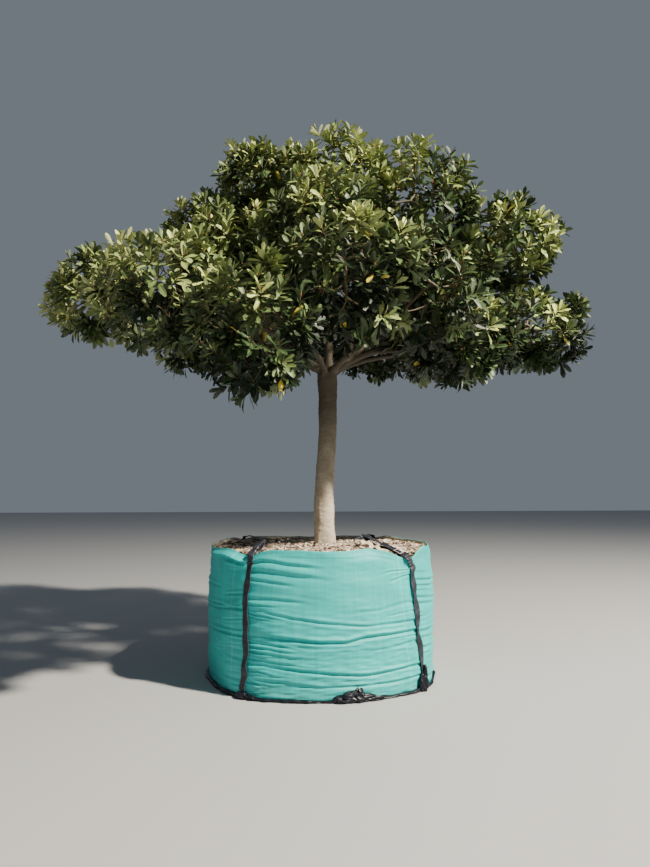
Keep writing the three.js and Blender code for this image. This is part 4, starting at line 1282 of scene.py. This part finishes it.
def strap_knots(name):
    """The strap's knots up the cloth, out along its loop and back, and how it faces at each."""
    climb, radial = strap_climb(name)
    facing, loop = (np.array(values) for values in STRAPS[name][2:])
    loop, facing = loop * MM, unit(facing)
    onward = unit(loop[-1] - loop[-2])
    turn = [loop[-1] + onward * away - facing * drop for away, drop in ((0.016, 0.007), (0.010, 0.016))]
    aside = unit(np.cross(facing, onward))
    aside = aside * (1 if aside[1] * climb[0, 1] > 0 else -1)
    inner = len(loop) - 2
    fanned = np.linspace(1, 0.2, inner)[:, None] * LOOP_FAN * aside
    back = loop[-2:0:-1] - facing * 0.008 - UP * LOOP_SLACK[:inner, None] + fanned
    knots = np.concatenate([climb[::4], loop, turn, back])
    ways = np.concatenate([radial[::4], np.tile(facing, (len(loop) + 2 + inner, 1))])
    return np.concatenate([knots, ways], 1), loop


def make_straps():
    """The webbing up each corner, over the rim, out to the end of its loop and back."""
    for k, name in enumerate(STRAPS):
        knots, loop = strap_knots(name)
        both, run = smooth_line(knots, 0.006)
        sway, swell, tilt, spread = (
            waves(run[:, None], size, seed + k, 6)[:, None]
            for size, seed in ((0.24, 90), (0.2, 95), (0.2, 99), (0.17, 104))
        )
        bend = rim_height(strap_angle(name, BAG_HEIGHT))
        kept = step(bend + 0.10, bend + 0.22, run)[:, None]
        both = eased(eased(both, 11), 11) * (1 - kept) + both * kept
        line, face = both[:, :3], unit(both[:, 3:])
        lying = 1 - step(bend - 0.12, bend - 0.02, run)[:, None]
        ways = unit(np.gradient(line, axis=0))
        across = unit(np.cross(face, ways))
        face = unit(np.cross(ways, across))
        line = line + (across * 0.004 * sway + face * 0.003 * (1 + swell).clip(0)) * lying
        turned = unit(across * np.cos(0.22 * tilt) + face * np.sin(0.22 * tilt))
        face = np.cross(ways, turned)
        wide = WEB_WIDE * (1 + 0.08 * spread[:, 0])
        points, faces = ribbon(line, turned, face, wide, WEB_THICK)
        edge = np.linspace(-0.5, 0.5, 9)
        edge = np.concatenate([edge, edge[-2:0:-1]]) * WEB_WIDE
        cloth = np.stack(np.broadcast_arrays(edge, run[:, None], 0.0), -1)
        piece(name + "_web", points, faces, [WEBBING], "webbing", [name], None, {"cloth": cloth})
        at = int(np.argmin(np.linalg.norm(line - loop[2], axis=1)))
        sewn = slice(at - 9, at + 4)
        if name != "strap_front_left":
            make_stitching(name, line[sewn], turned[sewn], face[sewn])


def make_stitching(name, line, across, face):
    """The pale box of thread that closes the loop, 3 mm wide."""
    rows = []
    for share in (-0.42, 0.42):
        own = line + across * share * WEB_WIDE + face * 0.0024
        rows.append(ribbon(own, across, face, np.full(len(own), 0.003), 0.0014))
    along = np.tile(unit(line[1] - line[0]), (6, 1))
    for at in (0, -1):
        own = line[at] + across[at] * np.linspace(-0.43, 0.43, 6)[:, None] * WEB_WIDE
        own = own + face[at] * 0.0026
        rows.append(ribbon(own, along, np.tile(face[at], (6, 1)), np.full(6, 0.0035), 0.0014))
    parts = [(points.reshape(-1, 3), [faces]) for points, faces in rows]
    piece(name + "_thread", *joined(parts), [THREAD], "webbing", [name])


def crumple(size, seed):
    """A fistful of crumpled film: smooth swags that meet in sharp creases."""
    ball = ball_rings(np.linspace(0.03, math.pi - 0.03, BUNCH_RINGS), BUNCH_SIDES)
    place = ball + 0.22 * shaken(ball, 1.1, seed + 5, 6)
    creases = np.abs(waves(place * [1, 0.5, 1], 1.2, seed))
    creases = creases + 0.2 * np.abs(waves(place * [1, 0.6, 1], 0.75, seed + 1))
    return (ball * (1.2 - 0.42 * creases)[..., None] * size).reshape(-1, 3)


def make_band():
    """The dark band that lies crumpled on the ground round the bag's foot."""
    around, sides = 900, 16
    a, t = np.meshgrid(turns(around), turns(sides), indexing="ij")
    ring, section = (round_axis(1.0, angle, 0.0)[..., :2] for angle in (a, t))
    crease = 1 + 0.20 * waves(np.concatenate([3 * ring, 0.25 * section], -1), 0.34, 122)
    crease += 0.06 * np.abs(waves(np.concatenate([3 * ring, 0.4 * section], -1), 0.2, 123))
    thick = 0.8 + 0.22 * waves(ring, 0.22, 120) + 0.12 * waves(ring, 0.06, 121)
    out = 0.020 * thick * crease * np.cos(t)
    up = (0.016 + 0.006 * waves(ring, 0.4, 124)).clip(0.009, 0.024) * 0.7 * crease * np.sin(t)
    middle = (bag_radius(0.0) + 0.023 + 0.004 * waves(ring, 0.5, 125)) * corner_factor(a)
    height = 0.0135 + 0.004 * waves(ring, 0.33, 126)
    points = round_axis(middle + out, a, np.maximum(height + up, 0.0004))
    faces = grid_faces(around + 1, sides, True) % (around * sides)
    piece("foot_band_film", points, faces, [FILM], "webbing", ["foot_band"])
    parts = []
    for k, (bearing, along, outward, above) in enumerate(BUNCHES):
        a = math.radians(bearing)
        radial = round_axis(1.0, a, 0.0)
        own = crumple(np.array([outward, along, above]) * MM, 140 + 3 * k)
        middle = (bag_radius(0.0) + 0.020) * corner_factor(a) + 0.3 * outward * MM
        own = own @ np.stack([radial, np.cross(UP, radial), UP])
        own = own + middle * radial + UP * above * 0.75 * MM
        own[:, 2] = np.maximum(own[:, 2], 0.0006)
        parts.append((own, [grid_faces(BUNCH_RINGS, BUNCH_SIDES, True)]))
    piece("foot_band_bunches", *joined(parts), [FILM], "webbing", ["foot_band"])


# The filling.


def chip_height(place):
    """How high the chips lie, with a hollow under the front right strap."""
    x, y = place[..., 0], place[..., 1]
    hollow = 0.035 * np.exp(-((x - 0.56) ** 2 + (y + 0.80) ** 2) / 0.13**2)
    heap = CHIP_HEAP * (1 - np.hypot(x, y) / CHIP_REACH)
    return CHIP_TOP + heap + 0.006 * waves(place, 0.3, 130) - 0.004 - hollow


def make_soil():
    """The soil: a crumbly top under the chips, a wall inside the cloth and a flat underside."""
    rings, sides = 60, 150
    angle = turns(sides)
    out = np.linspace(0.0, 1.0, rings)[:, None] * CHIP_REACH * corner_factor(angle)
    top = round_axis(out, angle, 0.0)
    level = top[..., :2].copy()
    top[..., 2] = chip_height(level) - 0.016 + 0.003 * waves(level, 0.03, 131)
    lower = top[-1:] * [1, 1, 0] + [0, 0, 0.012]
    base = (np.arange(sides) + rings * sides)[None, ::-1]
    faces = [grid_faces(rings + 1, sides, True), base]
    piece("soil", np.concatenate([top, lower]), faces, [SOIL], "soil", ["root_ball"])


def make_chips():
    """Split wood chips, 20 to 85 mm long, strewn flat in three layers round the trunk."""
    box = np.array([[x, y, z] for x in (-1, 1) for y in (-1, 1) for z in (-1, 1)], float) / 2
    sides = [[0, 1, 3, 2], [4, 6, 7, 5], [0, 4, 5, 1], [2, 3, 7, 6], [0, 2, 6, 4], [1, 5, 7, 3]]
    for name, colour, dark, share in CHIP_KINDS:
        many = int(CHIPS * share)
        radius = CHIP_REACH * np.sqrt(draw.uniform(0, 1, many * 2))
        angle = draw.uniform(0, TURN, many * 2)
        place = round_axis(radius * corner_factor(angle) * 0.985, angle, 0.0)[:, :2]
        place = place[np.hypot(*(place - TRUNK_FOOT).T) > TRUNK_ROOM][:many]
        many = len(place)
        sizes = np.stack([draw.uniform(*ends, many) for ends in CHIP_SIZES], 1) * MM
        sizes[draw.random(many) < 0.06] *= [1.35, 1.5, 1.2]
        away, angle = np.hypot(*place.T), np.arctan2(place[:, 1], place[:, 0])
        room = CHIP_REACH * corner_factor(angle) - 0.6 * sizes[:, 0]
        place = place * np.minimum(1, room / away)[:, None]
        shape = box * (1 + 0.28 * draw.normal(size=(many, 8, 3)).clip(-1.5, 1.5))
        taper = 1 - 0.45 * draw.random((many, 1, 1)) * (box[None, :, :1] + 0.5)
        shape[..., 1:] *= taper
        yaw = draw.uniform(0, TURN, many)
        pitch, roll = draw.normal(0, 0.22, many), draw.normal(0, 0.3, many)
        way = round_axis(np.cos(pitch), yaw, np.sin(pitch))
        side = round_axis(1.0, yaw + TURN / 4, 0.0)
        above = np.cross(way, side)
        sine, cosine = np.sin(roll)[:, None], np.cos(roll)[:, None]
        side, above = side * cosine + above * sine, above * cosine - side * sine
        layer = draw.choice([-0.006, 0.003, 0.009], many, p=[0.4, 0.4, 0.2])
        centres = np.column_stack([place, chip_height(place) + layer])
        points = centres[:, None] + (shape * sizes[:, None]) @ np.stack([way, side, above], 1)
        look = split_wood(f"wood_chip_{name}", colour, dark)
        faces = repeated(np.array(sides), many, 8)
        piece(f"chips_{name}", points, faces, [look], "chips", ["wood_chips"], smooth=False)


# The floor, the light and the camera.


def make_studio():
    """A pale painted floor, matt and even, a dim cool surround and one warm softbox."""
    corners = np.array([[-1, -1, 0], [1, -1, 0], [1, 1, 0], [-1, 1, 0]]) * FLOOR_HALF
    look = finish("floor_pale_paint", "#a6a8aa", 0.9)
    floor = piece("floor", corners, np.array([[0, 1, 2, 3]]), [look], None, None)
    world = bpy.data.worlds.new("pale_studio")
    world.use_nodes = True
    surround = world.node_tree.nodes["Background"].inputs
    surround["Color"].default_value = linear("#d6e3f2")
    surround["Strength"].default_value = SKY_LIGHT
    bpy.context.scene.world = world
    lamp = bpy.data.lights.new("key_softbox", "AREA")
    set_up(lamp, shape="DISK", size=LAMP_SIZE, energy=LAMP_POWER, color=linear("#fff3e0")[:3])
    height = math.radians(LAMP_HEIGHT)
    way = round_axis(math.cos(height), math.radians(LAMP_BEARING), math.sin(height))
    key = placed("key_softbox", lamp)
    key.location = np.array(LAMP_AIM) + LAMP_AWAY * way
    key.rotation_euler = Vector(way).to_track_quat("Z", "Y").to_euler()


def make_camera():
    lens = bpy.data.cameras.new("photo_camera")
    camera = placed("photo_camera", set_up(lens, lens=CAMERA_LENS, sensor_width=SENSOR, clip_end=200))
    camera.location = CAMERA_PLACE
    camera.rotation_euler = [math.radians(turn) for turn in CAMERA_TURN]
    bpy.context.scene.camera = camera


make_camera()
make_studio()
limb_lines = make_limb_lines()
make_trunk(limb_lines)
make_boughs(limb_lines)
all_twigs, all_shoots = grow(limb_lines)
make_twigs(all_twigs)
make_leaves(all_shoots)
make_fruit(all_shoots)
make_buds(all_shoots)
make_bag()
make_lining_tongue()
make_straps()
make_band()
make_soil()
make_chips()
